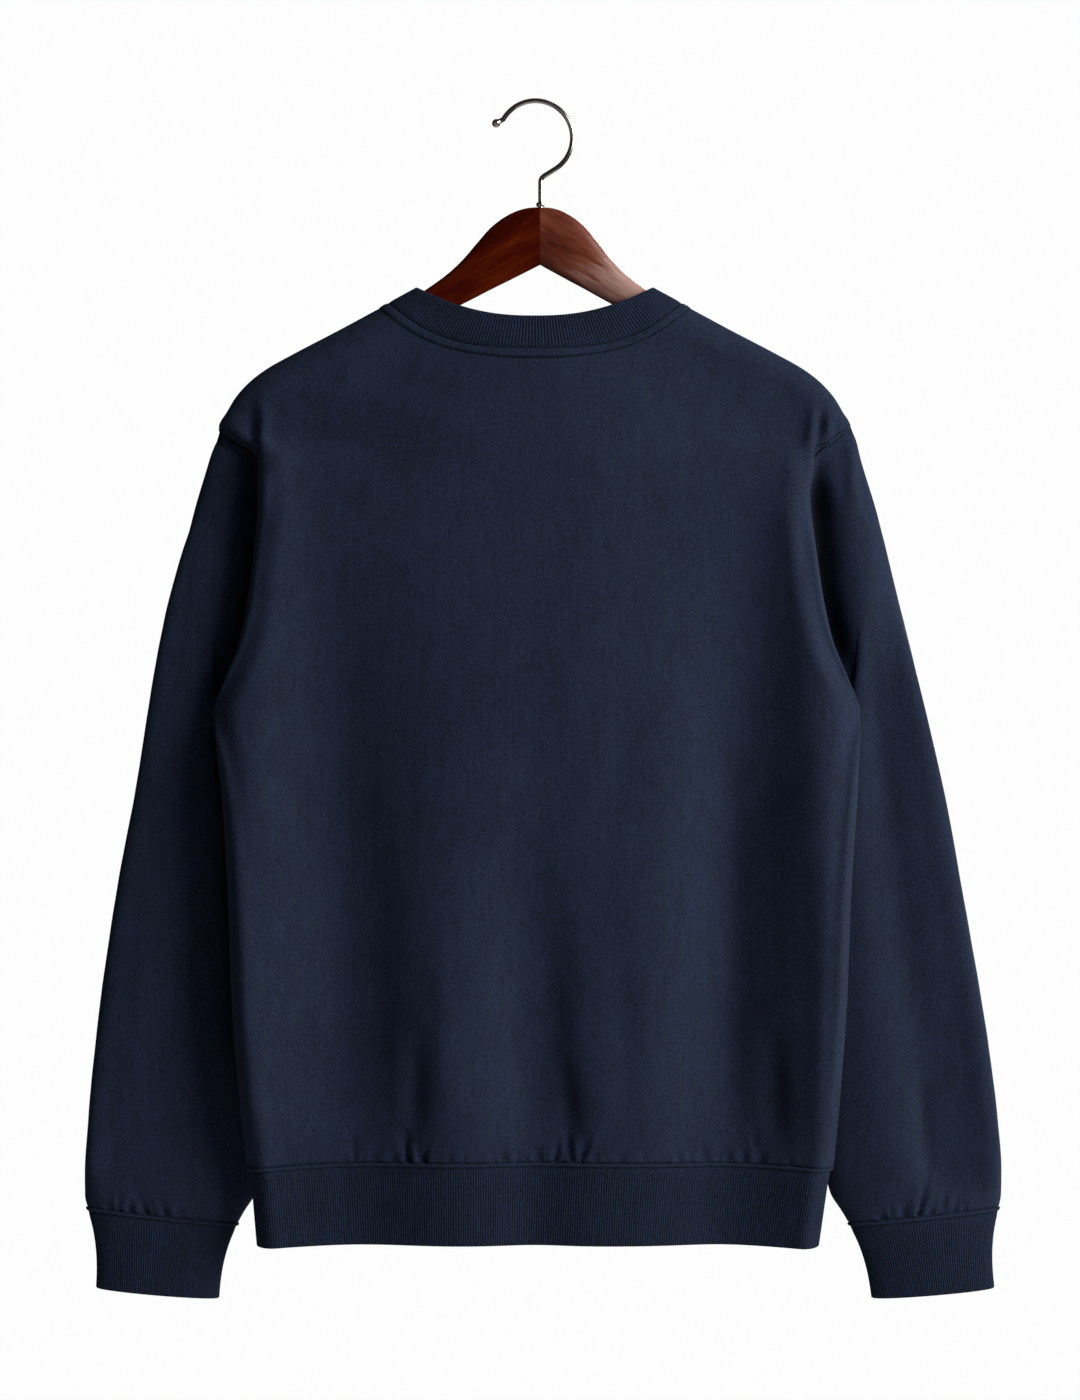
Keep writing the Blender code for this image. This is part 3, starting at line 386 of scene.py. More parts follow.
# The sleeves' forms across their back and front, by share of the way from the outer line to the inner
# one: a fuller outer edge, with the broad rise that goes with it
SLEEVE_FORMS = {
    # place, width, height
    -1: ((0.065, 0.07, 4.2), (0.065, 0.24, 4.8), (0.50, 0.18, 1.5)),
    1: ((0.065, 0.075, 4.6), (0.065, 0.17, 4.8), (0.37, 0.13, -3.4), (0.62, 0.14, 1.4)),
}
SLEEVE_FORM_TOP = {-1: (-290, -400), 1: (-350, -500)}       # where they start and where they are full
SLEEVE_FORM_EDGE = 0.06     # they fade towards the outer and the inner line over this share

# Seams, measured from the seam line
STRIP_WIDTH = 6.4           # the flat strip below the neckband, and its step and stitched groove
STRIP_HEIGHT = 0.8
STITCH_GROOVE = 0.45        # depth
ARMHOLE_BAND = 6            # the flat band along the armhole
ARMHOLE_BAND_HEIGHT = 0.7
BAND_STARTS = 5             # it grows over this much from the underarm
STEP_WIDTH = 1.1            # over which a strip steps down to the cloth
GROOVE_WIDTH = 0.75
NECK_SHADE, ARMHOLE_SHADE, DIP_SHADE = 0.75, 0.5, 0.6       # how dark the painted shade in the grooves and the dips is
SEAM_DIP = 0.7              # the cloth turns in towards every seam
SEAM_DIP_WIDTH = 1.3
PIPING_HEIGHT = 1.4         # the rolled seam at the top of the hem band and the cuffs
PIPING_WIDTH = 2.8
PIPING_PAINTED_HIGHLIGHT = -2           # painted highlight: the piping's rounded top is painted paler
PIPING_ROWS = (0, 0.2, 0.6, 1, 1.4, 1.8, 2.2, 2.6, 2.8, 3.1)
PIPING_GROOVE, PIPING_GROOVE_SHADE = 0.2, 0.35      # a groove below it, and the painted shade in that groove
FOLD_SHADE = 0.7            # painted shade: a band's folded edge is painted darker as it turns in
NOTCH_LOW, NOTCH_RISE = 0.10, 0.50      # share of the dip along a rib's seam, which comes and goes
NOTCH_TURN, NOTCH_DRIFT = 0.83, 0.21    # radians for a millimetre
HALF_GAP = 0.12             # half of the gap between two pieces
CALM_EDGE = 16              # the waves and creases fade towards a piece's edges over this much
CUFF_CALM = 40              # the sleeve's form fades towards the cuff
CREASE_START, CREASE_AT_SIDE = 6, 0.2   # a panel's creases fade towards its sides
WAVES = (
    # height, size across, from front to back and down, seed
    (0.55, (55, 55, 120), 0),
    (0.20, (19, 19, 19), 9),
)
PANEL_SEED, SLEEVE_SEED = 3, 11

# Stitches
# share of a stitch's length along it, share of its radius there
STITCH_PROFILE = ((-0.5, 0.45), (-0.34, 1), (0.34, 1), (0.5, 0.45))
STITCH_SIDES = 6
STITCH_PITCH = 2.9
STITCH_LENGTH, CUFF_STITCH_LENGTH = 1.7, 2.1
NECK_THREAD, ARMHOLE_THREAD, HEM_THREAD, CUFF_THREAD = 0.60, 0.75, 0.40, 0.36       # radii
HEM_STITCH_PLACE, CUFF_STITCH_PLACE = 1.3, 1.5              # from the seam
CUFF_STITCH_SINK = 0.02     # how much deeper the cuffs' stitches lie
STITCH_FLATNESS = 0.8

# Ribs
HEM_PITCH, CUFF_PITCH, NECK_PITCH = 1.90, 1.96, 2.37
RIB_RELIEF = 0.62
SAMPLES_PER_RIB = 6
RIB_ROUNDING = 0.8          # 1 is a plain wave, less is fuller
RIB_SHADE = 0.3             # painted shade in the valleys between the ribs
RIB_START = 1.4             # the ribs grow over this much from the seam
# painted shade next to a band's seam, fading as the ribs grow
RIB_START_SHADE = 0.5
RIB_FIRST, RIB_LAST = 0.5, 1.5              # first row below the seam, and above the fold
NECK_START = 0.3            # the neckband's ribs start this far from its seam
NECK_SEAM_ROW = (0, -0.4, 0.35, 0, 0.7)     # where the neckband's ribs sink into its seam
FOLD_RADIUS = 1.3           # of a band's folded edge
FOLD_ANGLES = (0, 25, 50, 75, 90)
RIB_INNER_SHARES = (1, 0.66, 0.33, 0)       # rows of the plain inside, from the fold to the seam

# Fineness of the skins
EDGE_FINE = 0.9             # spacing of the columns beside a seam, for so many of them
EDGE_FINE_COUNT = 9
PANEL_COLUMNS = 236
ROW_SAMPLES, ROLL_SAMPLES = 900, 180        # of a row, before its columns are spaced out
ARMHOLE_FINE = 66
ARMHOLE_EVEN = 0.4          # share of the even spacing in the rows' spacing there
INNER_STEP = 4              # the inner skin keeps one in this many rows and columns
# Rows, as (where they start, how far apart they are from there on)
SIDE_ROWS = ((HEM_SEAM_Z, 0.75), (HEM_SEAM_Z + 3, 1.7), (HEM_SEAM_Z + 33, 3.6), (UNDERARM_Z, 0))
SHOULDER_ROWS = ((TIP_Z + 2, 2.6), (NECK_Z - 11, 0.65), (NECK_Z, 0))
SLEEVE_ROWS = ((0, 0.9), (4.5, 3.7))        # from the armhole
CUFF_ROWS = ((33, 1.6), (3, 0.75), (0, 0))  # and then from this far above the cuff
BAND_ROWS = 4.5             # how far apart they are down a rib

# Hanger and hook, finer than the solids
ARM_FINE_SIDES = 40
ARM_FINE_ROUNDING = 0.90
ARM_JOINT_EASE = 0.01       # the edges at the joint are eased by this share
ARM_EASED = 1.2             # over this much from the joint
# The halves meet, closer than the solids do
ARM_ROWS = ((0, 0.35), (ARM_EASED, 3), (216, 0.7), (221, 0))
WIRE_SIDES = 28
ARM_SHARP, WIRE_SHARP, FERRULE_SHARP = 50, 60, 30   # degrees, from which an edge stays sharp
HOOK_FINE, SHANK_FINE = 80, 12
BALL_FINE_PROFILE = (
    # share of BALL_REACH, times the wire's radius
    (1.50, 0.12), (1.47, 0.55), (1.42, 0.90), (1.34, 1.22), (1.24, 1.48), (1.12, 1.64),
    (1, 1.70), (0.88, 1.66), (0.76, 1.52), (0.64, 1.30), (0.55, 1.10), (0.48, 1),
)
FERRULE_FINE_PROFILE = (
    # radius, z
    (2.7, -76.6), (3.2, -76.9), (3.4, -77.5), (3.4, -78.6), (3.3, -79.3), (3.1, -79.6),
    (2.15, -79.7), (2.15, -76.6),
)

# Colours, as linear red, green and blue
# dark, light, how close the knit's columns are, sheen, how strongly the painted shade and highlight show
FLEECE_LOOK = (0.0076, 0.0122, 0.0285), (0.0165, 0.0264, 0.0585), 330, 0.03, 0.75
RIB_LOOK = (0.0068, 0.0117, 0.0270), (0.0144, 0.0243, 0.0540), 480, 0.02, 0.72
CLOTH_STOPS = (0.41, 0.59)  # where the mix below is dark, and where light
CLOTH_MIX = (0.14, 0.20, 0.56, 0.10)        # mottle, wash, lint, columns
SHEEN_TINT = (0.42, 0.55, 0.85, 1)
SHADE_RANGE = (-2, 1.3)     # of the painted shade and highlight, from the painted highlight on a seam's rounded top to the painted shade in its groove
# the thread is near-black, darker than the navy cloth: partly its own colour, partly painted shade for the
# dark needle holes
THREAD_COLOURS = (0.3, (0.0015, 0.0022, 0.0045)), (0.7, (0.0035, 0.005, 0.010))
STEEL_COLOURS = (0.3, (0.46, 0.40, 0.36)), (0.7, (0.60, 0.54, 0.49))
FLOOR_COLOURS = (0.3, (0.62, 0.62, 0.61)), (0.7, (0.66, 0.66, 0.65))
MIDST = (0.3, 0.7)          # where most values of a noise lie
WOOD_STAINS_AND_REFLECTION = {
    # dark, middle, light, palest; the right half's row is painted paler, as a painted reflection of the light
    # on its varnish
    -1: ((0.030, 0.0014, 0.0001), (0.064, 0.0040, 0.0001), (0.110, 0.0120, 0.0006), (0.150, 0.0200, 0.0020)),
    1: ((0.050, 0.0060, 0.0020), (0.115, 0.0190, 0.0075), (0.200, 0.0520, 0.0280), (0.420, 0.2450, 0.2100)),
}
WOOD_STOPS = (0.36, 0.50, 0.64, 0.82)
WOOD_MIX = (0.35, 0.65)     # grain, bands
WOOD_SPAN = (0.012, 0.068)  # metres out from the joint, over which the painted reflection grows
WOOD_PAINTED_REFLECTION = {-1: 0, 1: 0.30}                # how much the painted reflection lightens the stain along each half
WOOD_GLOSS = {-1: (0.05, 0.12), 1: (0.20, 0.45)}            # specular level, coat
WOOD_GRAIN_TURN = -0.5      # radians from level, down towards each end

# Studio, in metres and watts
BACKDROP = (0.982, 0.986, 0.982)
AMBIENT = 0.035
AMBIENT_COLOUR = (0.93, 0.96, 1)
WORLD_NODES = ("OutputWorld", "MixShader", "LightPath", "Background", "Background")
LIGHTS = (
    # name, place, aimed at, width, height, power, colour
    ("key_light", (4.05, -2.25, 1.30), (0, 0, -0.45), 4, 3.2, 365, (1, 0.99, 0.97)),
    ("fill_light", (-1.5, -1.9, -0.6), (-0.2, 0, -0.6), 1.4, 1.6, 3.4, (0.93, 0.96, 1)),
    ("rim_light", (3, 0.9, 0.4), (0, 0, -0.5), 0.8, 2.4, 16, (0.95, 0.98, 1)),
    ("back_light", (1.2, 3.6, 0.8), (0, 0, -0.5), 2, 2, 80, (1, 0.99, 0.97)),
)
CAMERA_PLACE = (0.0035, -2.6, -0.4597)
CAMERA_LENS = 86.8
FLOOR_Z = -1750             # the floor is in millimetres
FLOOR_RADIUS = 1700
FLOOR_SIDES = 96

# ---------------------------------------------------------------- curves and tables

def monotone_curve(heights, values):
    """Smooth curve through the points, which never swings past them (Fritsch and Carlson)."""
    heights = np.asarray(heights, float)
    values = np.asarray(values, float)
    single = values.ndim == 1
    if single:
        values = values[:, None]
    step = np.diff(heights)
    slope = np.diff(values, axis=0) / step[:, None]
    tangent = np.zeros_like(values)
    tangent[0], tangent[-1] = slope[0], slope[-1]
    same_way = slope[:-1] * slope[1:] > 0
    before = (2 * step[1:] + step[:-1])[:, None]
    after = (step[1:] + 2 * step[:-1])[:, None]
    safe_low = np.where(same_way, slope[:-1], 1)
    safe_high = np.where(same_way, slope[1:], 1)
    mean = (before + after) / (before / safe_low + after / safe_high)
    tangent[1:-1] = np.where(same_way, mean, 0)

    def evaluate(height):
        height = np.asarray(height, float)
        flat = height.reshape(-1)
        index = np.clip(np.searchsorted(heights, flat) - 1, 0, len(step) - 1)
        gap = step[index][:, None]
        t = np.clip((flat - heights[index])[:, None] / gap, 0, 1)
        low, high = values[index], values[index + 1]
        result = low + (high - low) * t * t * (3 - 2 * t)
        result += t * (1 - t) ** 2 * tangent[index] * gap + t * t * (t - 1) * tangent[index + 1] * gap
        if single:
            result = result[:, 0].reshape(height.shape)
        return result

    return evaluate


def table_curves(table, columns):
    """One smooth curve against the first column for every other column of a table."""
    rows = sorted(table)
    heights = [row[0] for row in rows]
    return {name: monotone_curve(heights, [row[i] for row in rows]) for i, name in enumerate(columns) if i}


EDGE = table_curves(EDGE_TABLE, EDGE_COLUMNS)
FRONT_EDGE = table_curves(FRONT_ARMHOLE, FRONT_COLUMNS)
MIDDLE = {BACK: table_curves(BACK_MIDDLE, MIDDLE_COLUMNS), FRONT: table_curves(FRONT_MIDDLE, MIDDLE_COLUMNS)}
FOLDS = {BACK: BACK_FOLDS, FRONT: FRONT_FOLDS}
CREASES = {BACK: BACK_CREASES, FRONT: FRONT_CREASES}
PUCKERS = {BACK: BACK_PUCKERS, FRONT: FRONT_PUCKERS}
drift_at = monotone_curve(*zip(*DRIFT))
sleeve_drift_at = monotone_curve(*zip(*SLEEVE_DRIFT))


def smooth_step(value):
    value = np.clip(value, 0, 1)
    return value * value * (3 - 2 * value)


def unit(vectors):
    return vectors / np.maximum(np.linalg.norm(vectors, axis=-1, keepdims=True), 1e-9)


def spread(*stops):
    """Values from each stop to the next, evenly spaced about its own step apart, and the last stop. A
    stop is (value, step)."""
    places = []
    for (low, step), (high, _) in zip(stops, stops[1:]):
        count = max(1, round(abs(high - low) / step))
        places += [low + (high - low) * i / count for i in range(count)]
    return places + [stops[-1][0]]


def round_angles(count, first=0):
    """Evenly spaced angles round a ring."""
    return 2 * math.pi * (np.arange(count) + first) / count


def along_lines(points, axis=0):
    """Length run along each line of points from its start."""
    steps = np.linalg.norm(np.diff(points, axis=axis), axis=-1)
    start = np.zeros_like(np.take(steps, [0], axis=axis))
    return np.concatenate((start, np.cumsum(steps, axis=axis)), axis=axis)


def read_line(run, line, distances):
    """Points of a polyline at distances along it, where run is the distance of its own points."""
    return np.stack([np.interp(distances, run, line[:, i]) for i in range(3)], axis=-1)


def looped(ring):
    """A ring with its first point again at its end."""
    return np.concatenate((ring, ring[:1]))


def there_and_back(line):
    """Values along a line and back again, without its two ends the second time."""
    return np.concatenate((line, line[-2:0:-1]))


# ---------------------------------------------------------------- the garment's skins

def fold_depth(face, x, z):
    """How far the large folds push points of a panel in (positive) or out (negative)."""
    depth = np.zeros_like(x)
    for x_top, x_foot, top, full, half_width, fold in FOLDS[face]:
        along = np.clip((top - z) / (top - HEM_SEAM_Z), 0, 1)
        middle = x_top + (x_foot - x_top) * along
        grown = smooth_step((top - z) / (top - full))
        depth += fold * grown * np.exp(-((x - middle) / half_width) ** 2)
    return depth * (FOLD_AT_SEAM + (1 - FOLD_AT_SEAM) * smooth_step((z - HEM_SEAM_Z) / DRAWN_IN_HEIGHT))


def edge_values(face, z_edge):
    """The rolled edge of a panel at a height: the two panels share it but along the armhole."""
    values = {name: float(curve(z_edge)) for name, curve in EDGE.items()}
    if face == FRONT and UNDERARM_Z < z_edge < TIP_Z:
        values.update({name: float(curve(z_edge)) for name, curve in FRONT_EDGE.items()})
    elif face == FRONT:
        values["roll_y"] = values["behind"]
        values["turn"] = -values["turn"]
    return values


def panel_line(face, z_edge):
    """Close points along the row of a panel that ends at height z_edge."""
    edge = edge_values(face, z_edge)
    turn = math.radians(edge["turn"])
    angles = np.linspace(turn, math.pi / 2, ROLL_SAMPLES, endpoint=False)
    reach = np.where(angles > 0, edge["roll_y"], edge["behind"])
    roll_across = edge["half"] - edge["roll_x"] * (1 - np.cos(angles))
    roll_y = edge["depth"] + face * reach * np.sin(angles)
    roll_weight = np.maximum(np.sin(angles), 0) ** 2
    places = np.linspace(-1, 1, ROW_SAMPLES)
    shelf = float(MIDDLE[face]["shelf"](z_edge))
    swell = smooth_step((1 - shelf - np.abs(places)) / (SWELL_END - shelf))
    flat = edge["depth"] + face * edge["roll_y"]
    middle_y = flat + swell * (face * float(MIDDLE[face]["depth"](z_edge)) - flat)
    across = np.concatenate((-roll_across, places * (edge["half"] - edge["roll_x"]), roll_across[::-1]))
    y = np.concatenate((roll_y, middle_y, roll_y[::-1]))
    weight = np.concatenate((roll_weight, np.ones_like(places), roll_weight[::-1]))
    sag = float(MIDDLE[face]["sag"](z_edge)) * (1 - np.minimum(np.abs(across) / edge["half"], 1) ** 3)
    x = float(drift_at(z_edge)) + across
    z = z_edge - sag
    return np.stack((x, y - face * weight * fold_depth(face, x, z), z), axis=1)


def armhole_shares():
    """How far down the armhole each row lies, a little closer together at its two ends."""
    steps = [k / ARMHOLE_FINE for k in range(ARMHOLE_FINE + 1)]
    return [ARMHOLE_EVEN * t + (1 - ARMHOLE_EVEN) * (1 - math.cos(math.pi * t)) / 2 for t in steps]


def row_heights():
    """The height at which each row of a panel meets the edge, and how many rows lie below the armhole."""
    rows = spread(*SIDE_ROWS)[:-1]
    armhole = [TIP_Z + (UNDERARM_Z - TIP_Z) * share for share in reversed(armhole_shares())]
    return rows + armhole + spread(*SHOULDER_ROWS), len(rows)


def column_distances(length):
    """Where the columns of a row stand: fine beside the seams and even between them."""
    fine = [EDGE_FINE * i for i in range(EDGE_FINE_COUNT)]
    start = EDGE_FINE * EDGE_FINE_COUNT
    share = min(1, length / (4 * start))
    fine = [value * share for value in fine]
    start *= share
    middle = np.linspace(start, length - start, PANEL_COLUMNS)
    return np.concatenate((fine, middle, [length - value for value in reversed(fine)]))


def panel_grid(face, heights):
    z, left, right = zip(*EDGE_LIFTS)
    grid = []
    for z_edge in heights:
        line = panel_line(face, z_edge)
        run = along_lines(line)
        distances = column_distances(run[-1])
        line = read_line(run, line, distances)
        for lifts, from_side in zip((left, right), (distances, distances[-1] - distances)):
            rise = np.exp(-((from_side - EDGE_LIFT_PLACE) / EDGE_LIFT_WIDTH) ** 2)
            rise = rise * smooth_step(from_side / EDGE_LIFT_START)
            line[:, 1] += face * EDGE_LIFT_SHARE[face] * np.interp(z_edge, z, lifts) * rise
        grid.append(line)
    return np.array(grid)


def grid_normals(grid, closed, out_hint):
    """Unit normals of a grid of points, turned to the side that out_hint gives."""
    along = np.gradient(grid, axis=0)
    if closed:
        across = (np.roll(grid, -1, axis=1) - np.roll(grid, 1, axis=1)) / 2
    else:
        across = np.gradient(grid, axis=1)
    normals = unit(np.cross(across, along))
    if np.sum(normals * out_hint) < 0:
        normals = -normals
    return normals


def sleeve_ring(side, section):
    """Outer points round a sleeve: from its outer line down the back to the inner line and up the front."""
    values = dict(zip(SECTION_COLUMNS, section))
    share = there_and_back(armhole_shares())
    turned = np.where(np.arange(len(share)) <= ARMHOLE_FINE, 1, -1)
    bulge = (2 * np.sqrt(np.maximum(share * (1 - share), 0))) ** SLEEVE_ROUNDING
    z = values["out_z"] + (values["in_z"] - values["out_z"]) * share
    across = values["out_x"] + (values["in_x"] - values["out_x"]) * share
    middle = values["out_y"] + (values["in_y"] - values["out_y"]) * share
    x = side * across + drift_at(z) + sleeve_drift_at(z)
    return np.stack((x, middle - values["thick"] * bulge * turned, z), axis=1)


def sleeve_grid(side, armhole):
    sections = [sleeve_ring(side, section) for section in SLEEVE_SECTIONS]
    head = [(1 - share) * armhole + share * sections[0] for share in SLEEVE_HEAD_SHARES]
    rings = np.array([armhole, *head, *sections])
    run = along_lines(rings.mean(axis=1))
    total = run[-1]
    places = spread(*SLEEVE_ROWS, *((total - back, step) for back, step in CUFF_ROWS))
    curve = monotone_curve(run, rings.reshape(len(rings), -1))
    return curve(np.array(places)).reshape(len(places), -1, 3)


# ---------------------------------------------------------------- relief

def crease_relief(creases, x, z):
    """Height of the soft creases: troughs where their depth is above zero."""
    relief = np.zeros_like(x)
    for x0, z0, x1, z1, half_width, depth, soft in creases:
        length = math.hypot(x1 - x0, z1 - z0)
        ux, uz = (x1 - x0) / length, (z1 - z0) / length
        along = ((x - x0) * ux + (z - z0) * uz) / length
        beside = (x - x0) * uz - (z - z0) * ux
        shown = smooth_step(along / soft) * smooth_step((1 - along) / soft)
        inside = (along > 0) & (along < 1)
        relief -= depth * np.where(inside, shown, 0) * np.exp(-(beside / half_width) ** 2)
    return relief


def pucker_relief(puckers, x, distance):
    """Short pinched valleys, with the cloth standing up beside them, that start at a rib's seam."""
    relief = np.zeros_like(x)
    starts = 1 - np.exp(-(distance / PUCKER_START) ** 2)
    for place, depth, reach in puckers:
        width = PUCKER_HALF_WIDTH + PUCKER_UNEVEN * math.sin(2.9 * place)
        width = width * (1 + PUCKER_FLARE * np.clip(distance / reach, 0, 2))
        lean = PUCKER_LEAN * math.sin(1.7 * place)
        across = ((x - place - lean * distance) / width) ** 2
        valley = (1 - across) * np.exp(-across) * np.exp(-(distance / reach) ** 2)
        relief -= PUCKER_GAIN * depth * starts * valley
    return relief


def uneven(points, scale, seed):
    """Slow random waviness of hanging cloth, from -1 to 1."""
    flat = points.reshape(-1, 3) / scale + seed
    return np.array([noise.noise(Vector(p)) for p in flat]).reshape(points.shape[:-1])


def waviness(points, seed):
    return sum(height * uneven(points, np.array(size), seed + more) for height, size, more in WAVES)


def seam_step(distance, width, height):
    """A flat band beside a seam that steps down to the cloth, with a stitched groove in the step."""
    return height * (1 - smooth_step((distance - width) / STEP_WIDTH))


def groove(distance, width):
    return np.exp(-((distance - width - STEP_WIDTH) / GROOVE_WIDTH) ** 2)


def seam_dip(distance):
    return np.exp(-(distance / SEAM_DIP_WIDTH) ** 2)


def notched_dip(distance, x):
    """The dip at a rib's seam, where small gathers of the cloth come and go."""
    notches = 0.5 + 0.5 * np.sin(NOTCH_TURN * x + 2 * np.sin(NOTCH_DRIFT * x))
    return (NOTCH_LOW + NOTCH_RISE * notches) * seam_dip(distance)


def sleeve_gap(limits, bank, z, beside):
    """How much of the gap there is at points of a sleeve that lie this far beside the body's edge, from 0
    to 1."""
    top, full, ends, gone = limits
    shown = smooth_step((top - z) / (top - full)) * smooth_step((z - gone) / (ends - gone))
    return shown * np.exp(-np.maximum(beside - GAP_FLOOR, 0) / bank)


def sleeve_form(side, share, z):
    """The fuller outer edge of a sleeve and the broad rise beside it."""
    starts, full = SLEEVE_FORM_TOP[side]
    forms = SLEEVE_FORMS[side]
    relief = sum(height * np.exp(-((share - place) / width) ** 2) for place, width, height in forms)
    ends = smooth_step(share / SLEEVE_FORM_EDGE) * smooth_step((1 - share) / SLEEVE_FORM_EDGE)
    return relief * ends * smooth_step((starts - z) / (starts - full))


class Surface:
    """A grid of points of outer cloth with its normals, relief and the painted shade at its seams, gaps and
    valleys.
    """

    def __init__(self, grid, normal, closed):
        self.grid, self.normal, self.closed = grid, normal, closed
        self.relief = np.zeros(grid.shape[:2])
        self.shade = np.zeros(grid.shape[:2])

    def points(self):
        return self.grid + self.normal * self.relief[..., None]

    def settle(self, relief, shade, dips):
        """Take up the relief and the shade, with the dips at the seams."""
        self.relief = relief - SEAM_DIP * dips
        self.shade = np.maximum(shade, DIP_SHADE * dips)


class Garment:
    """The outer surfaces of the two panels and the two sleeves."""

    def __init__(self):
        heights, self.side_rows = row_heights()
        self.heights = np.array(heights)
        self.panel, self.sleeve = {}, {}
        for face in (BACK, FRONT):
            grid = panel_grid(face, heights)
            hint = np.array((0, float(face), 0))
            self.panel[face] = Surface(grid, grid_normals(grid, False, hint), False)
        for side in (-1, 1):
            grid = sleeve_grid(side, self.armhole_ring(side))
            hint = unit(grid - grid.mean(axis=1, keepdims=True))
            self.sleeve[side] = Surface(grid, grid_normals(grid, True, hint), True)
        for face in (BACK, FRONT):
            self.relieve_panel(face)
        for side in (-1, 1):
            self.relieve_sleeve(side)

    def armhole_ring(self, side):
        column = 0 if side < 0 else -1
        rows = list(range(self.side_rows + ARMHOLE_FINE, self.side_rows - 1, -1))
        back = [self.panel[BACK].grid[row][column] for row in rows]
        front = [self.panel[FRONT].grid[row][column] for row in reversed(rows[1:-1])]
        return np.array(back + front)

    def relieve_panel(self, face):
        surface = self.panel[face]
        grid = surface.grid
        x, z = grid[..., 0], grid[..., 2]
        from_hem = along_lines(grid)
        from_neck = from_hem[-1] - from_hem
        from_left = along_lines(grid, axis=1)
        from_right = from_left[:, -1:] - from_left
        from_side = np.minimum(from_left, from_right)
        height = self.heights[:, None]
        at_armhole = smooth_step((height - UNDERARM_Z) / BAND_STARTS) * smooth_step((TIP_Z + 1 - height) / 2)
        calm = smooth_step(np.minimum(np.minimum(from_hem, from_neck), from_side) / CALM_EDGE)
        relief = crease_relief(CREASES[face], x, z) * smooth_step(from_side / CREASE_START + CREASE_AT_SIDE)
        relief += waviness(grid, PANEL_SEED + face) * calm
        relief += pucker_relief(PUCKERS[face], x, from_hem)
        relief += seam_step(from_neck, STRIP_WIDTH, STRIP_HEIGHT)
        relief += at_armhole * seam_step(from_side, ARMHOLE_BAND, ARMHOLE_BAND_HEIGHT)
        # painted shade in the stitched grooves, and below at the dips of the seams
        shade = NECK_SHADE * groove(from_neck, STRIP_WIDTH)
        shade = np.maximum(shade, ARMHOLE_SHADE * at_armhole * groove(from_side, ARMHOLE_BAND))
        relief -= STITCH_GROOVE * shade
        dips = np.maximum(seam_dip(from_neck), np.maximum(notched_dip(from_hem, x), seam_dip(from_side)))
        surface.settle(relief, shade, dips)
        surface.from_hem, surface.from_neck = from_hem, from_neck
        surface.from_left, surface.from_right = from_left, from_right

    def relieve_sleeve(self, side):
        surface = self.sleeve[side]
        grid = surface.grid
        x, z = grid[..., 0], grid[..., 2]
        from_armhole = along_lines(grid)
        from_cuff = from_armhole[-1] - from_armhole
        beside = side * (x - drift_at(z)) - EDGE["half"](z)
        is_back = (np.arange(grid.shape[1]) <= ARMHOLE_FINE)[None, :]
        starts = smooth_step(from_armhole / GAP_START)
        calm = smooth_step(np.minimum(from_armhole, from_cuff) / CALM_EDGE)
        relief, shade = waviness(grid, SLEEVE_SEED + side) * calm, surface.shade
        share = there_and_back(armhole_shares())[None, :]
        relief += sleeve_form(side, share, z) * smooth_step(from_cuff / CUFF_CALM)
        for face, on_face in ((BACK, is_back), (FRONT, ~is_back)):
            relief += np.where(on_face, crease_relief(SLEEVE_CREASES[side, face], x, z), 0) * calm
            puckers = pucker_relief(CUFF_PUCKERS[side, face], x, from_cuff)
            relief += np.where(on_face, CUFF_PUCKER_GAIN * puckers, 0)
            # each gap and valley also gets painted shade at its floor, where the body hides the sleeve from
            # the light
            for *limits, depth, bank in SLEEVE_GAPS[side, face]:
                gap = np.where(on_face, sleeve_gap(limits, bank, z, beside), 0)
                relief -= depth * gap * starts
                shade = np.maximum(shade, GAP_SHADE * gap ** 2)
            for valley in SLEEVE_VALLEYS.get((side, face), ()):
                sunk = np.where(on_face, crease_relief((valley,), x, z), 0) * starts
                relief += sunk
                shade = np.maximum(shade, GAP_SHADE * (sunk / valley[5]) ** 2)     # by its depth
        surface.settle(relief, shade, np.maximum(seam_dip(from_armhole), notched_dip(from_cuff, x)))
        surface.from_cuff = from_cuff


# ---------------------------------------------------------------- meshes

def make_object(name, vertices, faces, material, shade=None, smooth_angle=None):
    mesh = bpy.data.meshes.new(name)
    mesh.from_pydata((np.asarray(vertices) * MM).tolist(), [], faces)
    if shade is not None:
        # painted shade and painted highlight for each point, which the cloth's colour is multiplied by
        layer = mesh.attributes.new("painted_shade_and_highlight", "FLOAT", "POINT")
        layer.data.foreach_set("value", np.asarray(shade, np.float32))
    mesh.materials.append(material)
    work = bmesh.new()
    work.from_mesh(mesh)
    bmesh.ops.recalc_face_normals(work, faces=work.faces)
    work.to_mesh(mesh)
    work.free()
    mesh.shade_smooth()
    if smooth_angle:
        mesh.set_sharp_from_angle(angle=math.radians(smooth_angle))
    obj = bpy.data.objects.new(name, mesh)
    bpy.context.scene.collection.objects.link(obj)
    return obj


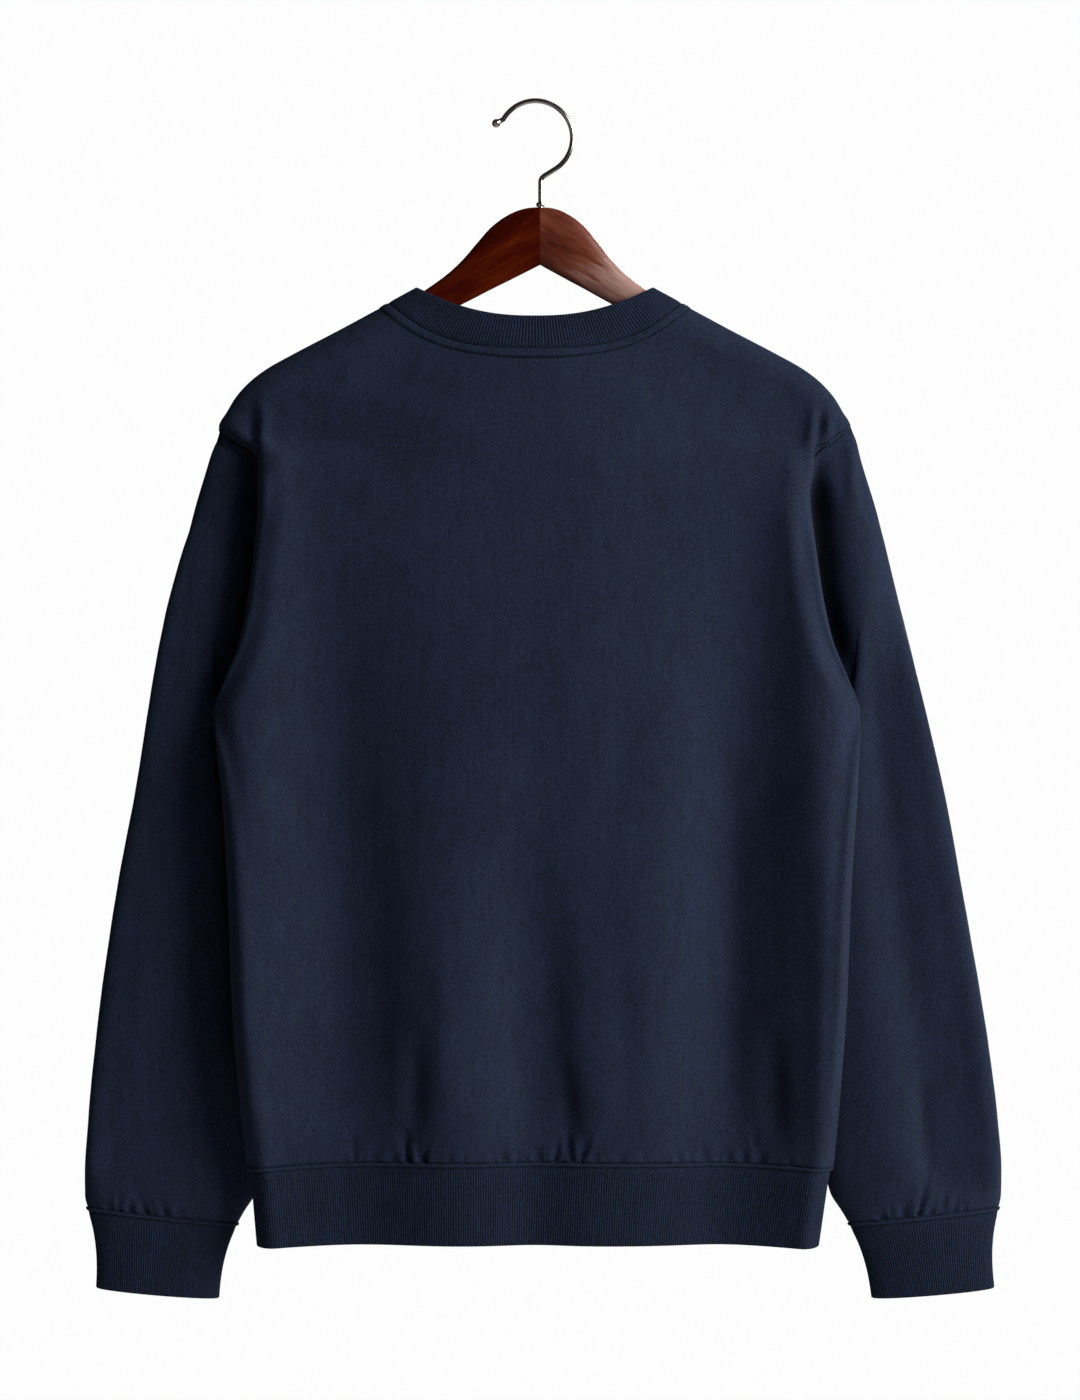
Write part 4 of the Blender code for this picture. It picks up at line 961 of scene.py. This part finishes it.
class Shell:
    """Rows of points joined into one closed skin."""

    def __init__(self):
        self.points, self.shades, self.faces = [], [], []
        self.count = 0

    def add(self, points, shade=None):
        points = np.asarray(points)
        self.points.append(points)
        self.shades.append(np.zeros(len(points)) if shade is None else np.asarray(shade))
        first = self.count
        self.count += len(points)
        return list(range(first, self.count))

    def grid(self, rows, closed):
        for low, high in zip(rows, rows[1:]):
            pairs = range(len(low)) if closed else range(len(low) - 1)
            for i in pairs:
                j = (i + 1) % len(low)
                self.faces.append((low[i], low[j], high[j], high[i]))

    def zip_lines(self, first, second, closed):
        """Triangles between two lines of points that have different numbers."""
        if closed:
            first, second = first + first[:1], second + second[:1]
        i = j = 0
        last_i, last_j = len(first) - 1, len(second) - 1
        while i < last_i or j < last_j:
            if j == last_j or (i < last_i and (i + 1) * last_j <= (j + 1) * last_i):
                self.faces.append((first[i], first[i + 1], second[j]))
                i += 1
            else:
                self.faces.append((first[i], second[j + 1], second[j]))
                j += 1

    def tube(self, rows):
        """A closed tube through rings of points, with a flat end on each side."""
        self.grid(rows, True)
        self.faces += [tuple(rows[0]), tuple(rows[-1])]

    def finish(self, name, material, smooth_angle=None):
        shades = np.concatenate(self.shades)
        return make_object(name, np.concatenate(self.points), self.faces, material, shades, smooth_angle)


def kept(count, step):
    """Every so many of a count of places, always with the first and the last."""
    return sorted(set(range(0, count, step)) | {count - 1})


def draw_back(points, closed):
    """Draw the cut edges of a piece back by half of a seam's gap."""
    drawn = points.copy()
    drawn[0] += HALF_GAP * unit(points[1] - points[0])
    drawn[-1] += HALF_GAP * unit(points[-2] - points[-1])
    if not closed:
        drawn[:, 0] += HALF_GAP * unit(points[:, 1] - points[:, 0])
        drawn[:, -1] += HALF_GAP * unit(points[:, -2] - points[:, -1])
    return drawn


def lowest_nearby(relief, reach, closed):
    """The lowest relief within so many rows and columns of each point."""
    rows, columns = (np.arange(size) for size in relief.shape)
    low = relief
    for shift in range(-reach, reach + 1):
        low = np.minimum(low, relief[np.clip(rows + shift, 0, rows[-1])])
    across = low
    for shift in range(-reach, reach + 1):
        moved = (columns + shift) % len(columns) if closed else np.clip(columns + shift, 0, columns[-1])
        across = np.minimum(across, low[:, moved])
    return across


def build_cloth(surface, name, material):
    """The outer skin of a panel or a sleeve, a plainer inner skin under its deepest relief and the cut
    edges between them."""
    closed = surface.closed
    outer_points = draw_back(surface.points(), closed)
    shell = Shell()
    outer = [shell.add(row, shade) for row, shade in zip(outer_points, surface.shade)]
    shell.grid(outer, closed)
    height, width = outer_points.shape[:2]
    columns = list(range(0, width, INNER_STEP)) if closed else kept(width, INNER_STEP)
    rows = kept(height, INNER_STEP)
    sunk = FLEECE - np.minimum(lowest_nearby(surface.relief, INNER_STEP, closed), 0)
    inner_points = draw_back(surface.grid - sunk[..., None] * surface.normal, closed)[rows][:, columns]
    inner = [shell.add(row) for row in inner_points]
    shell.grid(inner, closed)
    shell.zip_lines(outer[0], inner[0], closed)
    shell.zip_lines(outer[-1], inner[-1], closed)
    if not closed:
        for end in (0, -1):
            shell.zip_lines([row[end] for row in outer], [row[end] for row in inner], False)
    return shell.finish(name, material)


def band_profile(height, piping):
    """Distances down a band from its seam, with the height of the piping, the ribs' share, how far the
    folded edge turns in, and the painted shade there, which below zero is a painted highlight."""
    rows = []
    if piping:
        for t in PIPING_ROWS:
            round_share = max(0, 1 - ((t - PIPING_WIDTH / 2) / (PIPING_WIDTH / 2)) ** 2) ** 0.5
            below = t >= PIPING_WIDTH
            raised = PIPING_HEIGHT * round_share - PIPING_GROOVE * below
            rows.append((t, raised, 0, 0, PIPING_GROOVE_SHADE if below else PIPING_PAINTED_HIGHLIGHT * round_share))
        start = PIPING_ROWS[-1]
    else:
        rows.append(NECK_SEAM_ROW)
        start = NECK_START
    for t in spread((start + RIB_FIRST, BAND_ROWS), (height - RIB_LAST, 0))[:-1]:
        grown = float(smooth_step((t - start) / RIB_START))
        rows.append((t, 0, grown, 0, RIB_START_SHADE * (1 - grown)))
    for angle in FOLD_ANGLES:
        turned = math.radians(angle)
        shade = FOLD_SHADE * math.sin(turned) ** 2
        distance = height - FOLD_RADIUS + FOLD_RADIUS * math.sin(turned)
        rows.append((distance, 0, 1, FOLD_RADIUS * (1 - math.cos(turned)), shade))
    return rows


def build_band(seam, fold, normal, pitch, drawn, piping, name, material):
    """A folded rib ring, from its seam to its folded edge. drawn gives the share of the way in from the
    seam's shape to the fold's for a share of the height."""
    height = float(np.mean(np.linalg.norm(fold - seam, axis=1)))
    middle = (seam + fold) / 2
    run = along_lines(looped(middle))
    count = round(run[-1] / pitch) * SAMPLES_PER_RIB
    places = np.interp(np.arange(count) * run[-1] / count, run, np.arange(len(run)))
    ridge = (0.5 + 0.5 * np.cos(2 * math.pi * np.arange(count) / SAMPLES_PER_RIB)) ** RIB_ROUNDING

    def read(ring):
        index = np.minimum(places.astype(int), len(ring) - 1)
        share = (places - index)[:, None]
        return (1 - share) * ring[index] + share * looped(ring)[index + 1]

    seam_fine, fold_fine, normal_fine = read(seam), read(fold), unit(read(normal))
    down = unit(fold.mean(axis=0) - seam.mean(axis=0))

    def ring_at(share):
        pulled = (drawn(share) - share) * (fold_fine - seam_fine)
        pulled -= (pulled @ down)[:, None] * down
        return (1 - share) * seam_fine + share * fold_fine + pulled

    shell = Shell()
    outer = []
    for distance, raised, rib_share, turned_in, shade in band_profile(height, piping):
        proud = raised + RIB_RELIEF * rib_share * ridge - turned_in
        # painted shade in the rib valleys, the groove and the folded edge, and painted highlight on the
        # piping
        valley = np.maximum(shade, RIB_SHADE * rib_share * (1 - ridge))
        outer.append(shell.add(ring_at(distance / height) + normal_fine * proud[:, None], valley))
    shell.grid(outer, True)
    inner = []
    for share in RIB_INNER_SHARES:
        inner.append(shell.add((ring_at(share) - RIB_WALL * normal_fine)[::SAMPLES_PER_RIB // 2]))
    shell.grid(inner, True)
    shell.zip_lines(outer[-1], inner[0], True)
    shell.zip_lines(outer[0], inner[-1], True)
    return shell.finish(name, material)


def ring_normals(ring, other):
    """Outward normals of a band between two of its rings."""
    pair = np.array((ring, other))
    return grid_normals(pair, True, unit(pair - pair.mean(axis=1, keepdims=True)))[0]


def build_hem_band(garment, material):
    back, front = garment.panel[BACK], garment.panel[FRONT]
    seam = np.vstack((back.grid[0], front.grid[0][-2:0:-1]))
    normal = np.vstack((back.normal[0], front.normal[0][-2:0:-1]))
    normal[:, 2] = 0
    fold = seam.copy()
    fold[:, 0] = HEM_BOTTOM_X + (seam[:, 0] - drift_at(HEM_SEAM_Z)) * HEM_BOTTOM_SHRINK
    fold[:, 1] = seam[:, 1] * HEM_BOTTOM_SHRINK
    fold[:, 2] = HEM_BOTTOM_Z + HEM_FOLLOWS * (seam[:, 2] - HEM_SEAM_Z)
    return build_band(seam, fold, unit(normal), HEM_PITCH, hem_draw, True, "hem_band_rib", material)


def hem_draw(share):
    """Drawn in sharply below the seam and evenly from there."""
    return HEM_AT_ONCE * (1 - math.exp(-share / HEM_DRAWN_BY)) + (1 - HEM_AT_ONCE) * share


def cuff_draw(share):
    """Drawn in most below the seam, to a straight edge at the fold."""
    return 1 - (1 - share) ** CUFF_DRAW


def even_draw(share):
    return share


def build_cuff(side, garment, name, material):
    seam = garment.sleeve[side].grid[-1]
    fold = sleeve_ring(side, CUFF_END)
    return build_band(seam, fold, ring_normals(seam, fold), CUFF_PITCH, cuff_draw, True, name, material)


def neck_rings(garment):
    """The neckline's seam and the top edge of the band that stands on it."""
    back, front = garment.panel[BACK].grid[-1], garment.panel[FRONT].grid[-1]
    seam = np.vstack((back, front[-2:0:-1]))
    face = np.where(np.arange(len(seam)) < len(back), BACK, FRONT)
    share = np.clip((seam[:, 0] - drift_at(NECK_Z)) / EDGE["half"](NECK_Z), -1, 1)
    sag = np.where(face == BACK, NECK_TOP_SAG[BACK], NECK_TOP_SAG[FRONT])
    x = drift_at(NECK_Z) + NECK_TOP_HALF * share
    y = face * NECK_TOP_DEPTH * np.sqrt(np.maximum(0, 1 - np.abs(share) ** NECK_DEPTH_POWER))
    z = NECK_TOP_Z - sag * (1 - np.abs(share) ** NECK_SAG_POWER)
    return seam, np.stack((x, y, z), axis=1)


def build_neckband(garment, material):
    seam, fold = neck_rings(garment)
    normal = ring_normals(seam, fold)
    return build_band(seam, fold, normal, NECK_PITCH, even_draw, False, "neckband_rib", material)


# ---------------------------------------------------------------- stitches

def line_at(surface, measure, distance, axis):
    """The line across a surface at a distance from a seam, with its normals."""
    points, normals = surface.points(), surface.normal
    if axis == 1:
        points, normals, measure = points.swapaxes(0, 1), normals.swapaxes(0, 1), measure.T
    line, line_normals = [], []
    for column, run in enumerate(measure.T):
        order = np.argsort(run)
        line.append(read_line(run[order], points[order, column], distance))
        line_normals.append(read_line(run[order], normals[order, column], distance))
    return np.array(line), unit(np.array(line_normals))


def build_stitches(lines, radii, length, sink, name, material):
    """Short raised threads in a row along each line, with a radius for each line."""
    vertices, faces = [], []
    for (line, normals), radius in zip(lines, radii):
        run = along_lines(line)
        count = int(run[-1] / STITCH_PITCH)
        for i in range(count):
            middle = (i + 0.5) * run[-1] / count
            a, b = read_line(run, line, (middle - length / 2, middle + length / 2))
            up = unit(read_line(run, normals, middle))
            forward = unit(b - a)
            beside = unit(np.cross(forward, up))
            up = np.cross(beside, forward)
            centre = (a + b) / 2 - sink * up
            first = len(vertices)
            for share, swell in STITCH_PROFILE:
                for angle in round_angles(STITCH_SIDES):
                    out = math.cos(angle) * beside + STITCH_FLATNESS * math.sin(angle) * up
                    vertices.append(centre + share * length * forward + radius * swell * out)
            for low in range(first, first + (len(STITCH_PROFILE) - 1) * STITCH_SIDES, STITCH_SIDES):
                high = low + STITCH_SIDES
                for side in range(STITCH_SIDES):
                    other = (side + 1) % STITCH_SIDES
                    faces.append((low + side, low + other, high + other, high + side))
            for end in (first, len(vertices) - STITCH_SIDES):
                faces.append(tuple(range(end, end + STITCH_SIDES)))
    return make_object(name, np.array(vertices), faces, material)


def panel_stitches(garment, face, name, material):
    surface = garment.panel[face]
    rows = slice(garment.side_rows + 3, garment.side_rows + ARMHOLE_FINE - 1)
    part = Surface(surface.grid[rows], surface.normal[rows], False)
    part.relief = surface.relief[rows]
    lines = [line_at(surface, surface.from_neck, STRIP_WIDTH + STEP_WIDTH, 0)]
    for measure in (surface.from_left, surface.from_right):
        lines.append(line_at(part, measure[rows], ARMHOLE_BAND + STEP_WIDTH, 1))
    lines.append(line_at(surface, surface.from_hem, HEM_STITCH_PLACE, 0))
    radii = (NECK_THREAD, ARMHOLE_THREAD, ARMHOLE_THREAD, HEM_THREAD)
    return build_stitches(lines, radii, STITCH_LENGTH, 0, name, material)


def sleeve_stitches(garment, side, name, material):
    surface = garment.sleeve[side]
    ring = [looped(values) for values in line_at(surface, surface.from_cuff, CUFF_STITCH_PLACE, 0)]
    return build_stitches([ring], [CUFF_THREAD], CUFF_STITCH_LENGTH, CUFF_STITCH_SINK, name, material)


# ---------------------------------------------------------------- hanger and hook

def build_arm(side, name, material):
    """Half of the hanger, with its rounded edges and its rounded end."""
    reaches = [section[0] for section in ARM_SECTIONS]
    curve = monotone_curve(reaches, [section[1:] for section in ARM_SECTIONS])
    places = spread(*ARM_ROWS)
    angle = round_angles(ARM_FINE_SIDES, 0.5)
    ways = (np.cos(angle), np.sin(angle))
    wide, tall = (np.copysign(np.abs(way) ** ARM_FINE_ROUNDING, way) for way in ways)
    shell = Shell()
    rows = []
    for reach, (top, bottom, share) in zip(places, curve(np.array(places))):
        eased = 1 - ARM_JOINT_EASE * max(0, 1 - reach / ARM_EASED) ** 2
        half_y = ARM_THICKNESS / 2 * share * eased
        half_z = (top - bottom) / 2 - ARM_THICKNESS / 2 * (1 - eased)
        x = HANGER_X + side * reach - ARM_LEAN * min(reach / ARM_LEAN_REACH, 1)
        points = np.stack((np.full_like(angle, x), half_y * wide, (top + bottom) / 2 + half_z * tall), axis=1)
        rows.append(shell.add(points))
    shell.tube(rows)
    return shell.finish(name, material, ARM_SHARP)


def hook_line():
    """Centre line of the wire and its width, from the ball end over the top and down the shank."""
    def on_arc(angle):
        return HOOK_RADIUS * np.array((math.cos(angle), math.sin(angle))) + (0, WIRE_RADIUS - HOOK_RADIUS)

    start, end = math.radians(HOOK_START), math.radians(HOOK_END)
    heading = np.array((math.sin(end), -math.cos(end)))
    bend_drop = SHANK_BEND * math.cos(-end - math.pi / 2)
    bend_side = SHANK_BEND * (1 - math.cos(end))
    arc_end = on_arc(end)
    bend_start = arc_end + heading * (arc_end[0] - SHANK_X - bend_side) / -heading[0]
    points = [on_arc(start) + BALL_REACH * share * BALL_HEADING for share, _ in BALL_FINE_PROFILE]
    widths = [width for _, width in BALL_FINE_PROFILE]
    points += [on_arc(angle) for angle in np.linspace(start, end, HOOK_FINE)]
    for turned in np.linspace(-end, 0, SHANK_FINE):
        x = SHANK_X + SHANK_BEND * (1 - math.cos(turned))
        points.append(np.array((x, bend_start[1] - bend_drop + SHANK_BEND * math.sin(turned))))
    points.append(np.array((SHANK_X, SHANK_FOOT_Z)))
    widths += [1] * (len(points) - len(widths))
    return np.array(points), np.array(widths)


def build_hook(name, material):
    points, widths = hook_line()
    tangent = unit(np.gradient(points, axis=0))
    angle = round_angles(WIRE_SIDES)
    shell = Shell()
    rows = []
    for (x, z), (tx, tz), width in zip(points, tangent, widths):
        out, side = WIRE_RADIUS * width * np.cos(angle), WIRE_RADIUS * width * np.sin(angle)
        rows.append(shell.add(np.stack((x - tz * out, side, z + tx * out), axis=1)))
    shell.tube(rows)
    return shell.finish(name, material, WIRE_SHARP)


def build_ferrule(name, material):
    angle = round_angles(WIRE_SIDES)
    shell = Shell()
    rows = []
    for radius, z in FERRULE_FINE_PROFILE:
        points = (SHANK_X + radius * np.cos(angle), radius * np.sin(angle), np.full_like(angle, z))
        rows.append(shell.add(np.stack(points, axis=1)))
    shell.grid(rows + rows[:1], True)
    return shell.finish(name, material, FERRULE_SHARP)


# ---------------------------------------------------------------- materials

class Nodes:
    """A material being wired up: make adds a node with its inputs set or linked."""

    def __init__(self, name):
        self.material = bpy.data.materials.new(name)
        self.material.use_nodes = True
        self.tree = self.material.node_tree
        self.shader = self.tree.nodes["Principled BSDF"]
        self.place = self.make("ShaderNodeTexCoord").outputs["Object"]

    def make(self, kind, settings=None, **inputs):
        node = self.tree.nodes.new(kind)
        for key, value in (settings or {}).items():
            setattr(node, key, value)
        for key, value in inputs.items():
            self.set(node, key.replace("_", " "), value)
        return node

    def set(self, node, key, value):
        socket = node.inputs[int(key)] if key.isdigit() else node.inputs[key]
        if isinstance(value, bpy.types.NodeSocket):
            self.tree.links.new(value, socket)
        elif isinstance(value, (tuple, list)) and len(value) == 3 and len(socket.default_value) == 4:
            socket.default_value = (*value, 1)
        else:
            socket.default_value = value

    def noise(self, stretch, scale, detail, roughness=0.55):
        """Noise in the object's own space, the finer the larger its scale is."""
        place = self.make("ShaderNodeMapping", Vector=self.place, Scale=stretch).outputs["Vector"]
        inputs = {"Vector": place, "Scale": scale, "Detail": detail, "Roughness": roughness}
        return self.make("ShaderNodeTexNoise", **inputs).outputs["Fac"]

    def ramp(self, value, stops):
        """Values spread between colours: stops are (place, colour)."""
        node = self.make("ShaderNodeValToRGB", Fac=value)
        elements = node.color_ramp.elements
        while len(elements) < len(stops):
            elements.new(0.5)
        for element, (place, colour) in zip(elements, stops):
            element.position = place
            element.color = (*colour, 1)
        return node.outputs["Color"]

    def blend(self, *parts):
        """The sum of some values, each times its weight."""
        total = None
        for value, weight in parts:
            part = self.math("MULTIPLY", value, weight)
            total = part if total is None else self.math("ADD", total, part)
        return total

    def math(self, operation, a, b):
        return self.make("ShaderNodeMath", {"operation": operation}, **{"0": a, "1": b}).outputs[0]

    def span(self, value, before, after):
        """A value stretched from one range to another."""
        (low, high), (new_low, new_high) = before, after
        limits = {"From_Min": low, "From_Max": high, "To_Min": new_low, "To_Max": new_high}
        return self.make("ShaderNodeMapRange", Value=value, **limits).outputs["Result"]

    def darkened(self, colour, factor):
        """A colour times a factor."""
        inputs = {"0": colour, "Scale": factor}
        return self.make("ShaderNodeVectorMath", {"operation": "SCALE"}, **inputs).outputs[0]

    def bump(self, height, distance, strength, under=None):
        """A surface raised by up to a distance, in metres, on top of another bump."""
        node = self.make("ShaderNodeBump", Height=height, Distance=distance, Strength=strength)
        if under is not None:
            self.set(node, "Normal", under)
        return node.outputs["Normal"]

    def finish(self, **inputs):
        for key, value in inputs.items():
            self.set(self.shader, key.replace("_", " "), value)
        return self.material


def painted_shade_and_highlight(nodes, strength):
    """One in open cloth, less where shade is painted into grooves, gaps, valleys, rib valleys and folded
    edges, and more where a highlight is painted on a piping's rounded top.
    """
    shade = nodes.make("ShaderNodeAttribute", {"attribute_name": "painted_shade_and_highlight"}).outputs["Fac"]
    return nodes.span(shade, SHADE_RANGE, [1 - strength * limit for limit in SHADE_RANGE])


def cloth_material(name, dark, light, columns, sheen, seam):
    """Brushed cotton knit: slow mottling, fine lint, faint columns of the knit and a soft bloom."""
    nodes = Nodes(name)
    mottle = nodes.noise((1, 1, 0.6), 14, 4, 0.6)
    wash = nodes.noise((1, 1, 0.5), 75, 3, 0.6)
    lint = nodes.noise((1, 1, 0.8), 620, 3, 0.7)
    knit = nodes.noise((1, 1, 0.06), columns, 2, 0.5)
    blend = nodes.blend(*zip((mottle, wash, lint, knit), CLOTH_MIX))
    colour = nodes.ramp(blend, tuple(zip(CLOTH_STOPS, (dark, light))))
    # the painted shade and painted highlight from the mesh darken or lighten the colour
    colour = nodes.darkened(colour, painted_shade_and_highlight(nodes, seam))
    nap = nodes.bump(lint, 0.00035, 0.55, nodes.bump(knit, 0.00025, 0.5))
    rough = nodes.span(wash, MIDST, (0.9, 1))
    nodes.finish(Sheen_Weight=sheen, Sheen_Roughness=0.45, Sheen_Tint=SHEEN_TINT, Specular_IOR_Level=0.22)
    return nodes.finish(Base_Color=colour, Roughness=rough, Normal=nap)


def thread_material():
    nodes = Nodes("navy_thread")
    twist = nodes.noise((1, 1, 1), 1600, 1)
    colour = nodes.ramp(twist, THREAD_COLOURS)
    nodes.finish(Specular_IOR_Level=0.2)
    return nodes.finish(Base_Color=colour, Roughness=0.7, Normal=nodes.bump(twist, 0.0001, 0.5))


def wood_material(side):
    """Mahogany stain under varnish: long grain along each arm, pores and a little unevenness of the stain.
    The grain of the two halves runs against each other. The right half is painted paler, more so out from the
    joint, as a painted reflection of the light on its varnish."""
    nodes = Nodes("mahogany_left" if side < 0 else "mahogany_right_painted_reflection")
    along = nodes.make("ShaderNodeSeparateXYZ", Vector=nodes.place).outputs["X"]
    place = nodes.make("ShaderNodeMapping", Vector=nodes.place, Rotation=(0, side * WOOD_GRAIN_TURN, 0))
    nodes.place = place.outputs["Vector"]
    grain = nodes.noise((0.10, 1, 1), 420, 4, 0.6)
    bands = nodes.noise((0.25, 0.5, 1), 60, 3)
    pores = nodes.noise((0.05, 1, 1), 1500, 1, 0.5)
    waves = nodes.noise((0.4, 1, 1), 60, 2)
    mixed = nodes.blend(*zip((grain, bands), WOOD_MIX))
    # painted reflection: on the right half the stain is lightened out from the joint
    mixed = nodes.math("ADD", mixed, nodes.span(along, WOOD_SPAN, (0, WOOD_PAINTED_REFLECTION[side])))
    colour = nodes.ramp(mixed, tuple(zip(WOOD_STOPS, WOOD_STAINS_AND_REFLECTION[side])))
    colour = nodes.darkened(colour, nodes.span(pores, (0.28, 0.45), (0.8, 1)))
    rough = nodes.span(bands, MIDST, (0.34, 0.44))
    surface = nodes.bump(waves, 0.0006, 0.25, nodes.bump(grain, 0.00005, 0.4))
    specular, coat = WOOD_GLOSS[side]
    nodes.finish(Specular_IOR_Level=specular, Coat_Weight=coat, Coat_Roughness=0.25)
    return nodes.finish(Base_Color=colour, Roughness=rough, Normal=surface)


def steel_material():
    nodes = Nodes("polished_steel_wire")
    smear = nodes.noise((1, 1, 1), 130, 3)
    drawn = nodes.noise((1, 1, 1), 900, 1)
    colour = nodes.ramp(smear, STEEL_COLOURS)
    rough = nodes.span(smear, MIDST, (0.17, 0.23))
    surface = nodes.bump(drawn, 0.00001, 0.2)
    return nodes.finish(Base_Color=colour, Roughness=rough, Metallic=1, Normal=surface)


def floor_material():
    nodes = Nodes("studio_floor")
    wear = nodes.noise((1, 1, 1), 1.5, 4)
    rough = nodes.span(wear, MIDST, (0.7, 0.85))
    return nodes.finish(Base_Color=nodes.ramp(wear, FLOOR_COLOURS), Roughness=rough)


# ---------------------------------------------------------------- the studio

def build_floor(material):
    angle = round_angles(FLOOR_SIDES)
    ring = (FLOOR_RADIUS * np.cos(angle), FLOOR_RADIUS * np.sin(angle), np.full_like(angle, FLOOR_Z))
    floor = make_object("studio_floor", np.stack(ring, axis=1), [tuple(range(len(angle)))], material)


def build_world():
    """White where the camera looks past the garment, and a weak even light for everything else."""
    world = bpy.data.worlds.new("studio_air")
    bpy.context.scene.world = world
    world.use_nodes = True
    tree = world.node_tree
    tree.nodes.clear()
    output, mixer, path, seen, lit = (tree.nodes.new("ShaderNode" + kind) for kind in WORLD_NODES)
    seen.inputs["Color"].default_value = (*BACKDROP, 1)
    lit.inputs["Strength"].default_value = AMBIENT
    lit.inputs["Color"].default_value = (*AMBIENT_COLOUR, 1)
    tree.links.new(path.outputs["Is Camera Ray"], mixer.inputs["Fac"])
    tree.links.new(lit.outputs[0], mixer.inputs[1])
    tree.links.new(seen.outputs[0], mixer.inputs[2])
    tree.links.new(mixer.outputs[0], output.inputs["Surface"])


def add_light(name, place, aim, width, height, power, colour):
    data = bpy.data.lights.new(name, "AREA")
    data.shape = "RECTANGLE"
    data.size, data.size_y = width, height
    data.energy = power
    data.color = colour
    light = bpy.data.objects.new(name, data)
    light.location = place
    light.rotation_euler = (Vector(aim) - Vector(place)).to_track_quat("-Z", "Y").to_euler()
    bpy.context.scene.collection.objects.link(light)
    light.visible_camera = False


def build_camera():
    data = bpy.data.cameras.new("camera")
    data.lens = CAMERA_LENS
    data.clip_end = 50      # metres, past the whole studio
    camera = bpy.data.objects.new("camera", data)
    camera.location = CAMERA_PLACE
    camera.rotation_euler = (math.pi / 2, 0, 0)
    bpy.context.scene.collection.objects.link(camera)
    bpy.context.scene.camera = camera


def build_studio():
    build_camera()
    build_world()
    for light in LIGHTS:
        add_light(*light)
    build_floor(floor_material())
    settings = bpy.context.scene.view_settings
    settings.view_transform = "Standard"
    settings.look = "None"
    settings.exposure = 0


# ---------------------------------------------------------------- the whole

def place_piece(piece, slot, *nodes):
    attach(piece, "root")
    if nodes:
        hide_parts(*nodes)
    return piece


def main():
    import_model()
    build_studio()

    fleece = cloth_material("navy_fleece_brushed", *FLEECE_LOOK)
    rib = cloth_material("navy_rib_brushed", *RIB_LOOK)
    thread = thread_material()
    steel = steel_material()

    garment = Garment()
    pieces, stitches = {}, {}
    for face, node in ((BACK, "back_panel"), (FRONT, "front_panel")):
        cloth = build_cloth(garment.panel[face], node + "_cloth", fleece)
        pieces[node] = place_piece(cloth, "fleece", node)
        rows = panel_stitches(garment, face, node + "_stitches", thread)
        stitches[node] = place_piece(rows, "fleece")
    for side, hand in ((-1, "left"), (1, "right")):
        node = "sleeve_" + hand
        cloth = build_cloth(garment.sleeve[side], node + "_cloth", fleece)
        pieces[node] = place_piece(cloth, "fleece", node)
        rows = sleeve_stitches(garment, side, node + "_stitches", thread)
        stitches[node] = place_piece(rows, "fleece")
        cuff = build_cuff(side, garment, "cuff_" + hand + "_rib", rib)
        pieces["cuff_" + hand] = place_piece(cuff, "rib_knit", "cuff_" + hand)
        arm = build_arm(side, "hanger_arm_" + hand + "_wood", wood_material(side))
        place_piece(arm, "stained_wood", "hanger_arm_" + hand)
    pieces["hem_band"] = place_piece(build_hem_band(garment, rib), "rib_knit", "hem_band")
    pieces["neckband"] = place_piece(build_neckband(garment, rib), "rib_knit", "neckband")
    place_piece(build_hook("hanger_hook_wire", steel), "polished_steel", "hanger_hook")
    place_piece(build_ferrule("hook_ferrule_ring", steel), "polished_steel", "hook_ferrule")


main()
